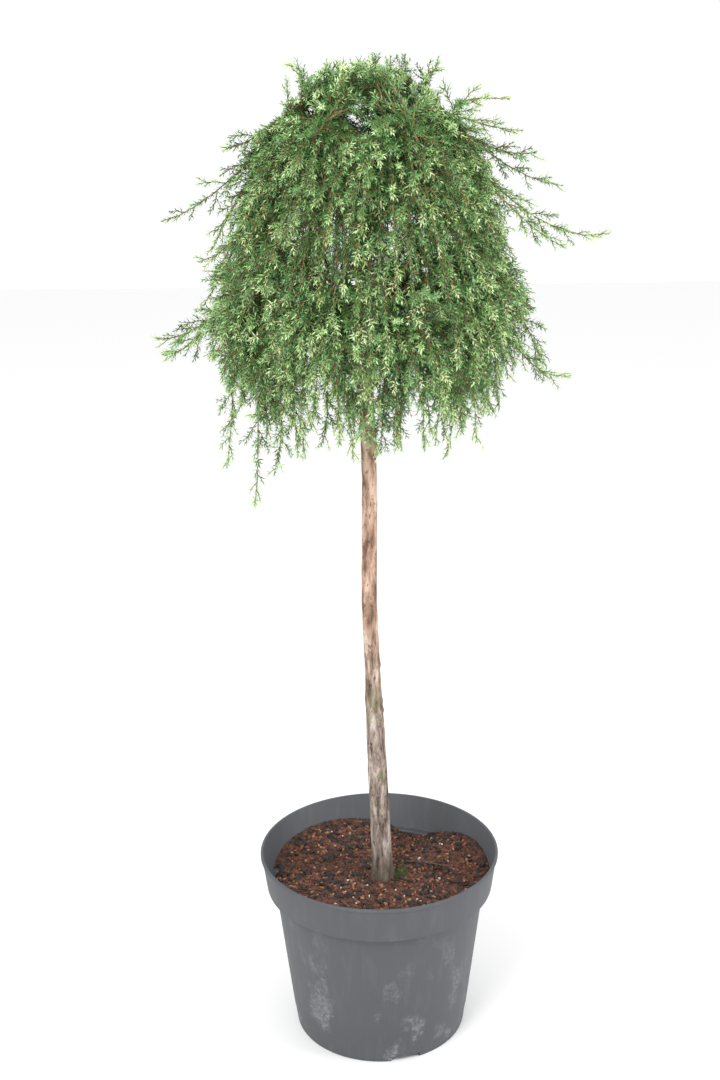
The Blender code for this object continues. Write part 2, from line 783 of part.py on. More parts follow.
def keep_largest(made):
    """Drop every shell of a mesh but its largest, also one that only touches it along an edge."""
    body = bmesh.new()
    body.from_mesh(made.data)
    unseen = set(body.faces)
    shells = []
    while unseen:
        shell = {unseen.pop()}
        front = list(shell)
        while front:
            face = front.pop()
            for edge in face.edges:
                if len(edge.link_faces) != 2:
                    continue
                for other in edge.link_faces:
                    if other in unseen:
                        unseen.remove(other)
                        shell.add(other)
                        front.append(other)
        shells.append(shell)
    shells.sort(key=len)
    for shell in shells[:-1]:
        bmesh.ops.delete(body, geom=list(shell), context="FACES")
    body.to_mesh(made.data)
    body.free()


def core_outline(tier):
    return CAP_CORE if tier == "cap" else SKIRT_CORE


def in_core(point, tier):
    """True where a point is inside the section of its mass's dense middle, or very near it."""
    outline = core_outline(tier)
    here = Vector((math.hypot(point.x - CROWN_X, point.y), point.z))
    inside = False
    for (r1, z1), (r2, z2) in zip(outline, outline[1:] + outline[:1]):
        start = Vector((r1, z1))
        side = Vector((r2, z2)) - start
        share = max(0.0, min(1.0, (here - start).dot(side) / side.length_squared))
        if (start + side * share - here).length < CORE_MARGIN:
            return True
        if (z1 > here.y) != (z2 > here.y) and here.x < r1 + (r2 - r1) * (here.y - z1) / (z2 - z1):
            inside = not inside
    return inside


def core_mesh(tier, bearing, half_width, in_reach, chance):
    """Uneven middle of a mass, its section swept across the sector, with sprays on its outer side."""
    outline = core_outline(tier)
    count = len(outline)
    stations = CORE_STATIONS[tier]
    points = []
    faces = []
    for station in range(stations + 1):
        turn = bearing + half_width * CORE_EDGE_SHARE * (2.0 * station / stations - 1.0)
        for reach, z in outline:
            reach += chance.uniform(-1.0, 0.4) * CORE_UNEVEN
            z += chance.uniform(-0.5, 0.5) * CORE_UNEVEN
            points.append(polar(turn, reach, z, CROWN_X))
    for station in range(stations):
        near = station * count
        far = near + count
        for corner in range(count):
            after = (corner + 1) % count
            ring = (near + corner, near + after, far + after, far + corner)
            spray = core_spray(points, ring, in_reach, chance)
            if spray is None:
                faces.append((ring[0], ring[1], ring[2]))
                faces.append((ring[0], ring[2], ring[3]))
                continue
            points.append(spray)
            for side in range(4):
                faces.append((ring[side], ring[(side + 1) % 4], len(points) - 1))
    last = stations * count
    for corner in range(1, count - 1):
        faces.append((0, corner + 1, corner))
        faces.append((last, last + corner, last + corner + 1))
    return points, faces


def core_spray(points, ring, in_reach, chance):
    """Tip of the spray that stands out of one face of a dense middle, or none on its inner side."""
    corners = [points[index] for index in ring]
    middle = sum(corners, Vector()) / 4.0
    facing = (corners[1] - corners[3]).cross(corners[2] - corners[0]).normalized()
    outward = Vector((middle.x - CROWN_X, middle.y, 0.0)).normalized()
    if facing.dot(outward) < 0.25 and facing.z < 0.5:
        return None
    drop = outward * 0.55 - Vector((0.0, 0.0, 0.85)) if facing.z < 0.5 else outward
    tip = middle + (facing * 0.7 + drop * 0.8) * CORE_SPRAY * chance.uniform(0.7, 1.25)
    return tip if in_reach(tip) else None


def build_mass(name, tier, bearing, half_width, number, parts, needles):
    """A mass; one whose pieces didn't join into a sound solid is drawn again from another seed."""
    seed = MASS_SEED + number + (SKIRT_SEED_STEP if tier == "skirt" else 0)
    chance = random.Random(seed + REDRAW_STEP * REDRAWN.get(name, 0))
    join_solids(name, mass_pieces(tier, bearing, half_width, number, chance), parts, needles)


def mass_pieces(tier, bearing, half_width, number, chance):
    """The dense middle, stem and leading shoots of a mass, as separate closed pieces."""
    bough = bough_path(tier, bearing, number, 12)

    def inside(point):
        return in_space(point, tier, bearing, half_width)

    def allowed(point):
        if not inside(point) or in_core(point, tier):
            return False
        return min((point - centre).length for centre in bough) > BOUGH_FOOT_RADIUS + BOUGH_CLEAR

    stem = mass_stem_path(tier, bearing, number)
    count = len(stem)
    radii = [MASS_STEM_RADIUS * (1.0 - 0.5 * ring / (count - 1)) for ring in range(count)]
    middle = core_mesh(tier, bearing, half_width, inside, chance)
    pieces = [middle, tube_mesh(stem, radii, BOUGH_SIDES)]
    taken = {cell_of(point) for point in middle[0]}
    for place, tip in enumerate(shoot_tips(tier, bearing, half_width, number)):
        met, curve, cells = free_curve(stem, tip, place, taken, inside, chance)
        if met >= STRAYED:
            continue
        if met > MOST_CROSSINGS and tip not in CAP_LONG_SHOOTS + SKIRT_LONG_SHOOTS:
            continue
        plume = Plume(curve, WHORL_REACH, allowed, taken, chance)
        if plume.whole:
            pieces.append((plume.points, plume.faces))
            taken |= plume.marks | cells
    return pieces


def main():
    clear_scene()
    parts = new_collection(PLANT_NAME)
    helpers = new_collection("helpers", hidden=True)
    bark = principled("stem_bark", BARK_BROWN, 0.9)
    limb_bark = principled("bough_bark", BOUGH_BROWN, 0.85)
    needles = principled("needles", NEEDLE_GREEN, 0.6)
    build_pot(parts, helpers)
    build_soil(parts, helpers)
    build_stem(parts, bark)
    for name, tier, bearing, half_width, number in masses():
        build_bough(name, tier, bearing, number, parts, limb_bark)
        build_mass(f"foliage_{name}", tier, bearing, half_width, number, parts, needles)


main()
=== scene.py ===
import math
import random
from collections import namedtuple

import bmesh
import bpy
import numpy as np
from mathutils import Matrix, Vector, noise


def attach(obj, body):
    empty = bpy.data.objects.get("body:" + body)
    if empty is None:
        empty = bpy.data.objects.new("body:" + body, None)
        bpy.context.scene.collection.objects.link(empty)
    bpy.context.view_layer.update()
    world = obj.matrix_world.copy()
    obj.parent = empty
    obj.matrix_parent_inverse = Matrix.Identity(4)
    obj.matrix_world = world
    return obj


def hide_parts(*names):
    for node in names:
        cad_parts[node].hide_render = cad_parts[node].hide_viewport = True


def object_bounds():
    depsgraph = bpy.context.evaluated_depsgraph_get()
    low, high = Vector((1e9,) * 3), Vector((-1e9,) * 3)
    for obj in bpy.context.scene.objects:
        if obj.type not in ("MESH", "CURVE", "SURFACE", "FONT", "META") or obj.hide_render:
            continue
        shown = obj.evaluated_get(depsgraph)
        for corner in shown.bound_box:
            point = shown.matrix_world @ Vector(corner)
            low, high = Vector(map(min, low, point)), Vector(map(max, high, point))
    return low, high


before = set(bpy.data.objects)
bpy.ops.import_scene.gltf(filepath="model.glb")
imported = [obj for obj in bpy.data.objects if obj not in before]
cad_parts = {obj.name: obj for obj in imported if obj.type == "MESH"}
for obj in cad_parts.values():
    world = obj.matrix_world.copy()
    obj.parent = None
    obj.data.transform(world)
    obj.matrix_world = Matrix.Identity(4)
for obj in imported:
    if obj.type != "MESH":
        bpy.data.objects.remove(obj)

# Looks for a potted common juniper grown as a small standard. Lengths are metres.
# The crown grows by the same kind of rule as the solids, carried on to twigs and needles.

CAD_LOW, CAD_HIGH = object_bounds()

# Camera, solved from the photograph: its place, then degrees, then millimetres
CAMERA_PLACE = (-0.021, -1.8401, 1.2873)
CAMERA_PITCH = 17.78
CAMERA_ROLL = -0.689
CAMERA_LENS = 50.65
CAMERA_SENSOR = 36.0
FLOOR_SIZE = 14.0
WORLD_STRENGTH = 1.05
BUMP_STRENGTH = 0.8
# Lamps: name, place, point they face, size, watts
LAMPS = (
    ("key", (-1.3, -2.2, 2.9), (0.0, 0.0, 0.7), 1.6, 70.0),
    ("side", (2.4, -0.8, 1.8), (0.0, 0.0, 0.6), 1.4, 32.0),
)

# Pot, soil and stem, in the sizes of the solids
POT_HEIGHT = 0.258
RIM_RADIUS = 0.161
RIM_DEPTH = 0.0035
COLLAR_TOP_RADIUS = 0.1592
COLLAR_FOOT_RADIUS = 0.153
COLLAR_FOOT_Z = 0.2075
BODY_TOP_RADIUS = 0.142
BASE_RADIUS = 0.117
FOOT_BAND_Z = 0.029
FOOT_BAND_STEP = 0.0006
POT_WALL = 0.002
POT_FLOOR = 0.012
POT_STEPS = 144
POT_CREASE = 38.0
WELD = 0.000002
POT_WELD = 0.00002
GRID_SEAM = 0.4999
CHANNELS = 4
CHANNEL_BEARING = 286.0
CHANNEL_WIDTH = 0.040
CHANNEL_HEIGHT = 0.007
CHANNEL_START = 0.042
SOIL_Z = 0.2118
SOIL_FLAT_RADIUS = 0.026
# Bearing, half width in degrees and rise of each swell or dip at the wall
SOIL_SWELLS = ((125, 38, 0.013), (28, 22, 0.014), (70, 15, -0.013), (170, 15, -0.009), (270, 80, 0.003))
SOIL_SWELL_REACH = 0.115
SOIL_LIFT = 0.0026
SOIL_ROUGH = 0.0030
SOIL_MIDDLE = 0.003
SOIL_EDGE = 0.1585
SOIL_WALL_CLEAR = 0.0004
SOIL_WALL_FALL = 0.8
SOIL_GRID = (260, 74)
CRUMB_SCALES = (70.0, 160.0, 420.0)
LITTER_START = 0.020
CHIP_REACH = 0.142
CHIP_NARROW = 0.55
CHIP_THICKNESS = (0.0008, 0.0022)
CHIP_CORNERS = (0.55, 1.15)
CHIP_TILT = 0.35
CHIP_LIFT = 0.0006
FIBRE_REACH = 0.138
FIBRE_LIFT = 0.001
FIBRE_BOW = 0.30
FIBRE_TAPER = 0.6
FALLEN_TWIG_FOOT = (0.037, 0.028, 0.0)
FALLEN_TWIG_TIP = (0.098, 0.008, 0.0)
FALLEN_TWIG_LIFT = 0.0026
FALLEN_TWIG_RADII = (0.0016, 0.0009)
MOSS_STRANDS = 420
MOSS_MIDDLE = (0.027, 0.006)
MOSS_SPREAD = (0.006, 0.008)
MOSS_HEIGHTS = (0.002, 0.0048)
MOSS_RADII = (0.0005, 0.00015)
# Middle of the stem as (height, x), then (height, radius)
STEM_LEAN = (
    (0.212, 0.0050), (0.447, -0.0040), (0.616, -0.0100), (0.776, -0.0080), (0.874, -0.0110),
    (1.112, -0.0100),
)
STEM_RADII = (
    (0.212, 0.0158), (0.232, 0.0138), (0.420, 0.0122), (0.520, 0.0100), (0.874, 0.0092),
    (1.112, 0.0078),
)
STEM_TOP_Z = 1.112
STEM_KNOB = 0.0004
STEM_SUNK = 0.004
STEM_GRID = (72, 620)
STEM_RELIEF_LOW = 0.00085
STEM_RELIEF_HIGH = 0.00050
STEM_ROUGH_TOP = 0.52
# How close swells, plates and grain stand, across the stem and along it
RIDGE_SCALES = ((150.0, 26.0), (330.0, 60.0), (800.0, 190.0))
KNOTS = 34
KNOT_SEED = 3
KNOT_HEIGHTS = (0.30, 1.05)
KNOT_SIZES = (0.6, 1.9)
KNOT_RISE = 0.001
KNOT_HALF_HEIGHT = 0.0036
KNOT_HALF_WIDTH = 0.0032
KNOT_FAR = 0.012
FLARE_TOP = 0.245
FLARE_DEPTH = 0.033
FLARE_LOBE = 0.0012
FLARE_LOBES = 4

# Crown
CROWN_X = -0.010
CAP_MASSES = 6
SKIRT_MASSES = 10
BOUGH_FOOT_RADIUS = 0.0056
BOUGH_TIP_RADIUS = 0.0040
FOOT_EDGE_SHARE = 0.87
KNOB_SHARE = 0.75
GAP = 0.0003
BOUGH_SUNK = 0.002
BOUGH_LEAVE = 0.6
BOUGH_END_SHARE = 0.92
LIMB_LUMPS = 0.10
LIMB_GRAIN = 0.05
LIMB_LUMP_SCALE = 420.0
CAP_BOUGH_DROP = 0.014
CAP_BOUGH_STEP = 0.011
CAP_BOUGH_BEND = (0.030, 0.022)
CAP_BOUGH_TIP_REACH = 0.040
CAP_BOUGH_TIP_Z = 1.178
CAP_BOUGH_TIP_RANGE = 0.012
SKIRT_BOUGH_Z = 0.925
SKIRT_BOUGH_RANGE = 0.105
SKIRT_BOUGH_BEND = (0.040, 0.006)
SKIRT_BOUGH_TIP = (0.064, 0.026)
CAP_STEM_LEAD = (0.090, 1.232)
CAP_STEM_END = (0.118, 1.190)
SKIRT_STEM_LEAD = (0.115, 1.035)
SKIRT_STEM_END = (0.150, 1.010)
SKIRT_STEM_RISE = (0.045, 0.020)
MASS_STEM_START = 0.020
MASS_STEM_RADII = (0.0036, 0.0014)
# The dome as (height, reach), and how far past it the middle of a shoot may stand
DOME = (
    (0.800, 0.085), (0.850, 0.130), (0.900, 0.168), (0.950, 0.188), (1.000, 0.184),
    (1.050, 0.174), (1.100, 0.162), (1.150, 0.142), (1.200, 0.112), (1.240, 0.074),
    (1.265, 0.040),
)
DOME_SPARE = 0.010
# Longest shoots, where the photograph shows them: bearing, reach, height, droop in degrees
CAP_LONG_SHOOTS = (
    (184, 0.240, 1.101, 12), (192, 0.165, 1.183, 20), (200, 0.206, 1.059, 8),
    (190, 0.088, 1.274, 0), (250, 0.077, 1.276, -25), (340, 0.092, 1.268, -5),
    (338, 0.176, 1.236, 10), (350, 0.184, 1.200, 5), (345, 0.203, 1.177, -15),
    (8, 0.240, 1.132, 12), (354, 0.288, 1.082, -18), (342, 0.241, 1.071, 20),
)
SKIRT_LONG_SHOOTS = (
    (182, 0.256, 0.960, -8), (190, 0.247, 0.946, 0), (206, 0.154, 0.764, 78),
    (204, 0.186, 0.815, 84), (214, 0.165, 0.881, 10), (222, 0.150, 0.812, 60),
    (246, 0.135, 0.852, 45), (258, 0.105, 0.868, 40), (275, 0.110, 0.838, 80),
    (285, 0.120, 0.850, 70), (320, 0.166, 0.851, 78), (332, 0.176, 0.884, 72),
    (350, 0.248, 0.915, -12), (5, 0.224, 0.913, 80), (340, 0.205, 1.000, 35),
)
# Rows of leading shoots in a mass: height of the tips, how many, droop at the tip in degrees
CAP_ROWS = (
    (1.258, 5, -8), (1.248, 4, 4), (1.222, 4, 16), (1.190, 4, 26), (1.155, 4, 36),
    (1.120, 4, 45), (1.085, 4, 52), (1.050, 4, 60), (1.020, 4, 66), (0.990, 4, 70),
    (0.960, 3, 74),
)
SKIRT_ROWS = (
    (1.020, 3, 40), (0.990, 3, 46), (0.960, 3, 52), (0.930, 3, 60), (0.900, 3, 66),
    (0.875, 3, 72), (0.852, 2, 80), (0.828, 1, 84),
)
# Shoots at the two edges of a mass, and hanging inside it: lowest and highest tip, and how many
CAP_EDGES = (1.020, 1.245, 9)
SKIRT_EDGES = (0.880, 1.070, 6)
CAP_INSIDE = (1.040, 1.215, 8)
SKIRT_INSIDE = (0.880, 1.080, 6)
EDGE_SHARES = (0.78, 1.15)
INSIDE_SHARES = (0.35, 0.80)
EDGE_DROOPS = (35, 80)
INSIDE_DROOPS = (60, 90)
EDGE_REACHES = (-0.03, 0.008)
ROW_RISE = 0.018
ROW_REACHES = (-0.020, 0.016)
ROW_DROOP = 16
ROW_SPREAD = 1.05
TOP_Z = 1.262
TOP_RISES = (-0.012, 0.010)
TOP_REACH = 0.012
TOP_REACH_RANGE = 0.050
TIP_SEED = 100
SHOOT_SEED = 500
SKIRT_SEED = 50
NEEDLE_SEED = 5
ROOT_SHARE = 0.10
ROOT_SHARE_RANGE = 0.86
SHOOT_PULL = 0.46
SHOOT_LEAD = 0.36
LOW_SHOOT_DROP = 0.05
LOW_SHOOT_CLIMB = 0.75
SHOOT_CLIMB = 0.50
SHOOT_SWAY = 0.012
GOLDEN = 0.6180339887
GOLDEN_TURN = math.radians(137.5)
SIDE_PITCH = 0.0088
SIDE_LENGTHS = (0.020, 0.040)
SPRIG_LENGTHS = (0.008, 0.015)
SPRIG_LEAST = 0.022
SPRIG_SHARES = (0.30, 0.50, 0.68)
THREE_SPRIGS_FROM = 0.030
LEADER_RADII = (0.0013, 0.0005)
SIDE_RADII = (0.0007, 0.0003)
SPRIG_RADII = (0.0004, 0.0003)
LEADER_BARE = 0.030
LEADER_BARE_MOST = 0.45
LAST_SIDE_SHARE = 0.985
LEAST_SIDE_SHARE = 0.32
SIDE_SLANTS = (38.0, 58.0)
SIDE_SINKS = ((-0.05, 0.22), (-0.15, 0.30))
FULL_FOOT = 0.45
FULL_RISE = 1.3
FULL_END = 0.6
FULL_FALL = 1.55
# Kind of shoot, sides round its tube, rings along it
TWIG_GRIDS = (("leader", 5, 12), ("side", 3, 4), ("sprig", 3, 2))
NEEDLE_PITCH = 0.0034
NEEDLE_LENGTH = 0.0082
NEEDLE_WIDTH = 0.0019
SIDE_NEEDLES = NEEDLE_LENGTH * 0.95
SPRIG_NEEDLES = NEEDLE_LENGTH * 0.85
WHORL_TURN = 1.05
NEEDLE_TURN = 0.35
NEEDLE_TILT = 58.0
NEEDLE_TILT_FALL = 30.0
NEEDLE_TILT_RANGE = 14.0
NEEDLE_LENGTHS = (0.8, 1.15)
NEEDLE_WIDEST = 0.35
NEEDLE_HOLLOW = 0.5
NEEDLE_CURL = 0.10
TIP_SHORTER = 0.35
FRESH_FROM = 0.72
STEM_CLEAR = 0.013
BOX_SPARE = 0.010
MOST_TRIANGLES = 190000

# Needle colours as linear base colour and roughness, from the shaded inside to the fresh tips
NEEDLE_LOOKS = (
    ("needles_shaded", (0.048, 0.112, 0.030), 0.55),
    ("needles_deep_green", (0.118, 0.272, 0.070), 0.50),
    ("needles_grey_green", (0.205, 0.390, 0.155), 0.48),
    ("needles_light_green", (0.340, 0.560, 0.205), 0.48),
    ("needles_fresh_tips", (0.600, 0.780, 0.390), 0.50),
)
SHADED, DEEP_GREEN, GREY_GREEN, LIGHT_GREEN, FRESH = range(5)
# Where a leader's foot ends and its end starts, and the draws below which it has each colour
FOOT_SHARE = 0.30
END_SHARE = 0.90
FOOT_SHADED = 0.55
END_LIGHT = 0.35
GREEN_DRAWS = ((0.12, SHADED), (0.50, DEEP_GREEN), (0.80, GREY_GREEN))
TONE_PULL = 0.35

Shoot = namedtuple("Shoot", "curve length colour needle foot_radius tip_radius kind")


def along(table, at):
    for (low, first), (high, second) in zip(table, table[1:]):
        if at <= high:
            share = max(0.0, min(1.0, (at - low) / (high - low)))
            return first + (second - first) * share
    return table[-1][1]


def polar(bearing, reach, z, centre_x=0.0):
    angle = math.radians(bearing)
    return Vector((centre_x + reach * math.cos(angle), reach * math.sin(angle), z))


def bezier(start, pull, lead, end, share):
    rest = 1.0 - share
    return (
        start * rest**3 + pull * (3 * share * rest**2) + lead * (3 * share**2 * rest) + end * share**3
    )


def spread(index, phase):
    return (phase + index * GOLDEN) % 1.0


def stem_middle(z):
    return Vector((along(STEM_LEAN, z), 0.0, z))


# Node materials


def look(name, colour, roughness):
    made = bpy.data.materials.new(name)
    made.use_nodes = True
    shader = made.node_tree.nodes["Principled BSDF"]
    shader.inputs["Base Color"].default_value = (*colour, 1.0)
    shader.inputs["Roughness"].default_value = roughness
    return made


def node(made, kind, **values):
    new = made.node_tree.nodes.new(kind)
    for key, value in values.items():
        setattr(new, key, value)
    return new


def link(made, start, end):
    made.node_tree.links.new(start, end)


def place(made, stretch=(1.0, 1.0, 1.0)):
    """Object coordinates, stretched by a Mapping node."""
    coordinates = node(made, "ShaderNodeTexCoord")
    mapping = node(made, "ShaderNodeMapping")
    mapping.inputs["Scale"].default_value = stretch
    link(made, coordinates.outputs["Object"], mapping.inputs["Vector"])
    return mapping.outputs["Vector"]


def speckle(made, scale, detail=6.0, stretch=(1.0, 1.0, 1.0), rough=0.6):
    texture = node(made, "ShaderNodeTexNoise")
    texture.inputs["Scale"].default_value = scale
    texture.inputs["Detail"].default_value = detail
    texture.inputs["Roughness"].default_value = rough
    link(made, place(made, stretch), texture.inputs["Vector"])
    return texture.outputs["Fac"]


def ramp(made, value, stops):
    new = node(made, "ShaderNodeValToRGB")
    elements = new.color_ramp.elements
    while len(elements) < len(stops):
        elements.new(0.5)
    for element, (at, colour) in zip(elements, stops):
        element.position = at
        element.color = (*colour, 1.0)
    link(made, value, new.inputs["Fac"])
    return new.outputs["Color"]


def step(made, value, low, high):
    new = node(made, "ShaderNodeMapRange")
    new.inputs["From Min"].default_value = low
    new.inputs["From Max"].default_value = high
    link(made, value, new.inputs["Value"])
    return new.outputs["Result"]


def times(made, first, second):
    new = node(made, "ShaderNodeMath", operation="MULTIPLY")
    link(made, first, new.inputs[0])
    if isinstance(second, float):
        new.inputs[1].default_value = second
    else:
        link(made, second, new.inputs[1])
    return new.outputs[0]


def blend(made, share, first, second):
    new = node(made, "ShaderNodeMix", data_type="RGBA")
    link(made, share, new.inputs[0])
    for socket, value in ((new.inputs[6], first), (new.inputs[7], second)):
        if isinstance(value, tuple):
            socket.default_value = (*value, 1.0)
        else:
            link(made, value, socket)
    return new.outputs[2]


def height(made):
    parted = node(made, "ShaderNodeSeparateXYZ")
    link(made, place(made), parted.inputs[0])
    return parted.outputs[2]


def finish_look(made, colour, roughness, relief, depth):
    shader = made.node_tree.nodes["Principled BSDF"]
    link(made, colour, shader.inputs["Base Color"])
    if roughness is not None:
        link(made, roughness, shader.inputs["Roughness"])
    bump = node(made, "ShaderNodeBump")
    bump.inputs["Strength"].default_value = BUMP_STRENGTH
    bump.inputs["Distance"].default_value = depth
    link(made, relief, bump.inputs["Height"])
    link(made, bump.outputs["Normal"], shader.inputs["Normal"])
    return made


def pot_look():
    """Anthracite plastic, satin, with pale blotches where water has dried and fine dusty scuffs."""
    made = look("pot_satin_plastic", (0.055, 0.058, 0.064), 0.40)
    low = step(made, height(made), low=0.235, high=0.03)
    spots = speckle(made, scale=17.0, detail=8.0, stretch=(1.0, 1.0, 0.8), rough=0.62)
    blotch = step(made, spots, low=0.56, high=0.62)
    fine = step(made, speckle(made, scale=240.0, detail=3.0), low=0.35, high=0.62)
    stains = times(made, times(made, blotch, fine), low)
    scuffs = speckle(made, scale=90.0, detail=5.0, stretch=(1.0, 1.0, 0.12))
    dust = times(made, step(made, scuffs, low=0.52, high=0.78), 0.35)
    colour = blend(made, dust, (0.070, 0.074, 0.082), (0.120, 0.126, 0.138))
    colour = blend(made, stains, colour, (0.230, 0.236, 0.250))
    rough = step(made, stains, low=-0.9, high=0.6)
    grain = speckle(made, scale=420.0, detail=2.0)
    return finish_look(made, colour, rough, grain, depth=0.00008)


def bark_look():
    """Thin flaking bark: dark at the foot, grey-brown with lichen below, salmon above."""
    made = look("trunk_flaking_bark", (0.33, 0.21, 0.15), 0.88)
    z = height(made)
    plates = speckle(made, scale=95.0, detail=8.0, stretch=(1.0, 1.0, 0.22), rough=0.65)
    lower = ramp(made, plates, (
        (0.38, (0.060, 0.040, 0.030)), (0.45, (0.170, 0.125, 0.100)),
        (0.53, (0.340, 0.270, 0.225)), (0.63, (0.560, 0.490, 0.440)),
    ))
    upper = ramp(made, plates, (
        (0.38, (0.130, 0.070, 0.048)), (0.45, (0.270, 0.160, 0.110)),
        (0.53, (0.420, 0.275, 0.200)), (0.63, (0.610, 0.440, 0.345)),
    ))
    colour = blend(made, step(made, z, low=0.44, high=0.60), lower, upper)
    patches = speckle(made, scale=55.0, detail=7.0, stretch=(1.0, 1.0, 0.6))
    lichen = step(made, patches, low=0.53, high=0.60)
    lichen = times(made, lichen, step(made, z, low=0.62, high=0.36))
    colour = blend(made, times(made, lichen, 0.75), colour, (0.125, 0.135, 0.055))
    foot = times(made, step(made, z, low=0.275, high=0.215), 0.8)
    colour = blend(made, foot, colour, (0.075, 0.062, 0.040))
    dots = speckle(made, scale=260.0, detail=4.0, stretch=(1.0, 1.0, 0.5))
    fleck = step(made, dots, low=0.59, high=0.63)
    colour = blend(made, times(made, fleck, 0.7), colour, (0.045, 0.030, 0.022))
    flakes = speckle(made, scale=230.0, detail=8.0, stretch=(1.0, 1.0, 0.25))
    return finish_look(made, colour, None, flakes, depth=0.0007)


def twig_bark_look():
    made = look("twig_orange_brown_bark", (0.20, 0.095, 0.045), 0.8)
    tone = speckle(made, scale=130.0, detail=4.0)
    colour = ramp(made, tone, (
        (0.35, (0.085, 0.042, 0.022)), (0.52, (0.225, 0.108, 0.048)), (0.70, (0.340, 0.190, 0.090)),
    ))
    grain = speckle(made, scale=600.0, detail=3.0)
    return finish_look(made, colour, None, grain, depth=0.0002)


def soil_look():
    """Moist bark and peat: near black, with red-brown and orange crumbs."""
    made = look("moist_growing_bark", (0.06, 0.03, 0.02), 0.95)
    crumbs = speckle(made, scale=150.0, detail=10.0, rough=0.72)
    colour = ramp(made, crumbs, (
        (0.36, (0.012, 0.008, 0.007)), (0.47, (0.050, 0.024, 0.017)),
        (0.57, (0.125, 0.048, 0.030)), (0.70, (0.260, 0.115, 0.070)),
    ))
    return finish_look(made, colour, None, crumbs, depth=0.0030)


def chip_look(name, dark, light):
    made = look(name, light, 0.85)
    tone = step(made, speckle(made, scale=210.0), low=0.35, high=0.65)
    grain = speckle(made, scale=500.0, detail=4.0)
    return finish_look(made, blend(made, tone, dark, light), None, grain, depth=0.0004)


# Meshes from bmesh operators


def piece(name, mesh, material, nodes=(), smooth=True):
    made = bpy.data.objects.new(name, mesh)
    bpy.context.scene.collection.objects.link(made)
    mesh.materials.append(material)
    if smooth:
        mesh.shade_smooth()
    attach(made, "root")
    if nodes:
        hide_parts(*nodes)
    return made


def finish_mesh(name, body):
    mesh = bpy.data.meshes.new(name)
    bmesh.ops.recalc_face_normals(body, faces=body.faces)
    body.to_mesh(mesh)
    body.free()
    return mesh


def rolled(around, lengthwise, shape, closed_ends=True):
    """A grid rolled into a tube: shape gives a point from shares round and along it."""
    body = bmesh.new()
    bmesh.ops.create_grid(body, x_segments=around, y_segments=lengthwise, size=0.5)
    for vert in body.verts:
        share_round = (vert.co.x + 0.5) % 1.0 if vert.co.x < GRID_SEAM else 0.0
        vert.co = shape(share_round, min(1.0, max(0.0, vert.co.y + 0.5)))
    bmesh.ops.remove_doubles(body, verts=body.verts, dist=WELD)
    if closed_ends:
        open_edges = [edge for edge in body.edges if len(edge.link_faces) == 1]
        bmesh.ops.holes_fill(body, edges=open_edges, sides=0)
    return body


def pot_mesh():
    """Pot turned from a profile up its inside, over the rim and down its outside, without channels."""
    foot = body_radius(FOOT_BAND_Z)
    wall = POT_WALL
    ledge_z = COLLAR_FOOT_Z + wall
    profile = [
        (0.0, POT_FLOOR), (BASE_RADIUS - 0.007, POT_FLOOR), (body_radius(0.018) - wall, 0.018),
        (BODY_TOP_RADIUS - wall, ledge_z - 0.001), (BODY_TOP_RADIUS - wall + 0.001, ledge_z),
        (COLLAR_FOOT_RADIUS - wall - 0.001, ledge_z), (COLLAR_FOOT_RADIUS - wall, ledge_z + 0.001),
        (COLLAR_TOP_RADIUS - wall, POT_HEIGHT - 0.0006), (COLLAR_TOP_RADIUS - wall + 0.0006, POT_HEIGHT),
        (RIM_RADIUS - 0.0012, POT_HEIGHT), (RIM_RADIUS - 0.0004, POT_HEIGHT - 0.0004),
        (RIM_RADIUS, POT_HEIGHT - 0.0012), (RIM_RADIUS, POT_HEIGHT - RIM_DEPTH),
        (RIM_RADIUS - 0.0006, POT_HEIGHT - RIM_DEPTH - 0.0006),
        (COLLAR_TOP_RADIUS, POT_HEIGHT - RIM_DEPTH - 0.0012),
        (COLLAR_FOOT_RADIUS + 0.0002, COLLAR_FOOT_Z + 0.0024),
        (COLLAR_FOOT_RADIUS - 0.0004, COLLAR_FOOT_Z + 0.0006), (COLLAR_FOOT_RADIUS - 0.0018, COLLAR_FOOT_Z),
        (BODY_TOP_RADIUS + 0.0012, COLLAR_FOOT_Z), (BODY_TOP_RADIUS, COLLAR_FOOT_Z - 0.0012),
        (foot, FOOT_BAND_Z), (foot - FOOT_BAND_STEP, FOOT_BAND_Z - 0.0008),
        (BASE_RADIUS - FOOT_BAND_STEP, 0.0024), (BASE_RADIUS - 0.0012, 0.0007), (BASE_RADIUS - 0.0026, 0.0),
        (0.0, 0.0),
    ]
    body = bmesh.new()
    verts = [body.verts.new((radius, 0.0, z)) for radius, z in profile]
    edges = [body.edges.new(pair) for pair in zip(verts, verts[1:])]
    bmesh.ops.spin(
        body, geom=verts + edges, cent=(0, 0, 0), axis=(0, 0, 1), angle=math.tau,
        steps=POT_STEPS, use_merge=True,
    )
    bmesh.ops.remove_doubles(body, verts=body.verts, dist=POT_WELD)
    return finish_mesh("pot_wall", body)


def body_radius(z):
    return BASE_RADIUS + (BODY_TOP_RADIUS - BASE_RADIUS) * z / COLLAR_FOOT_Z


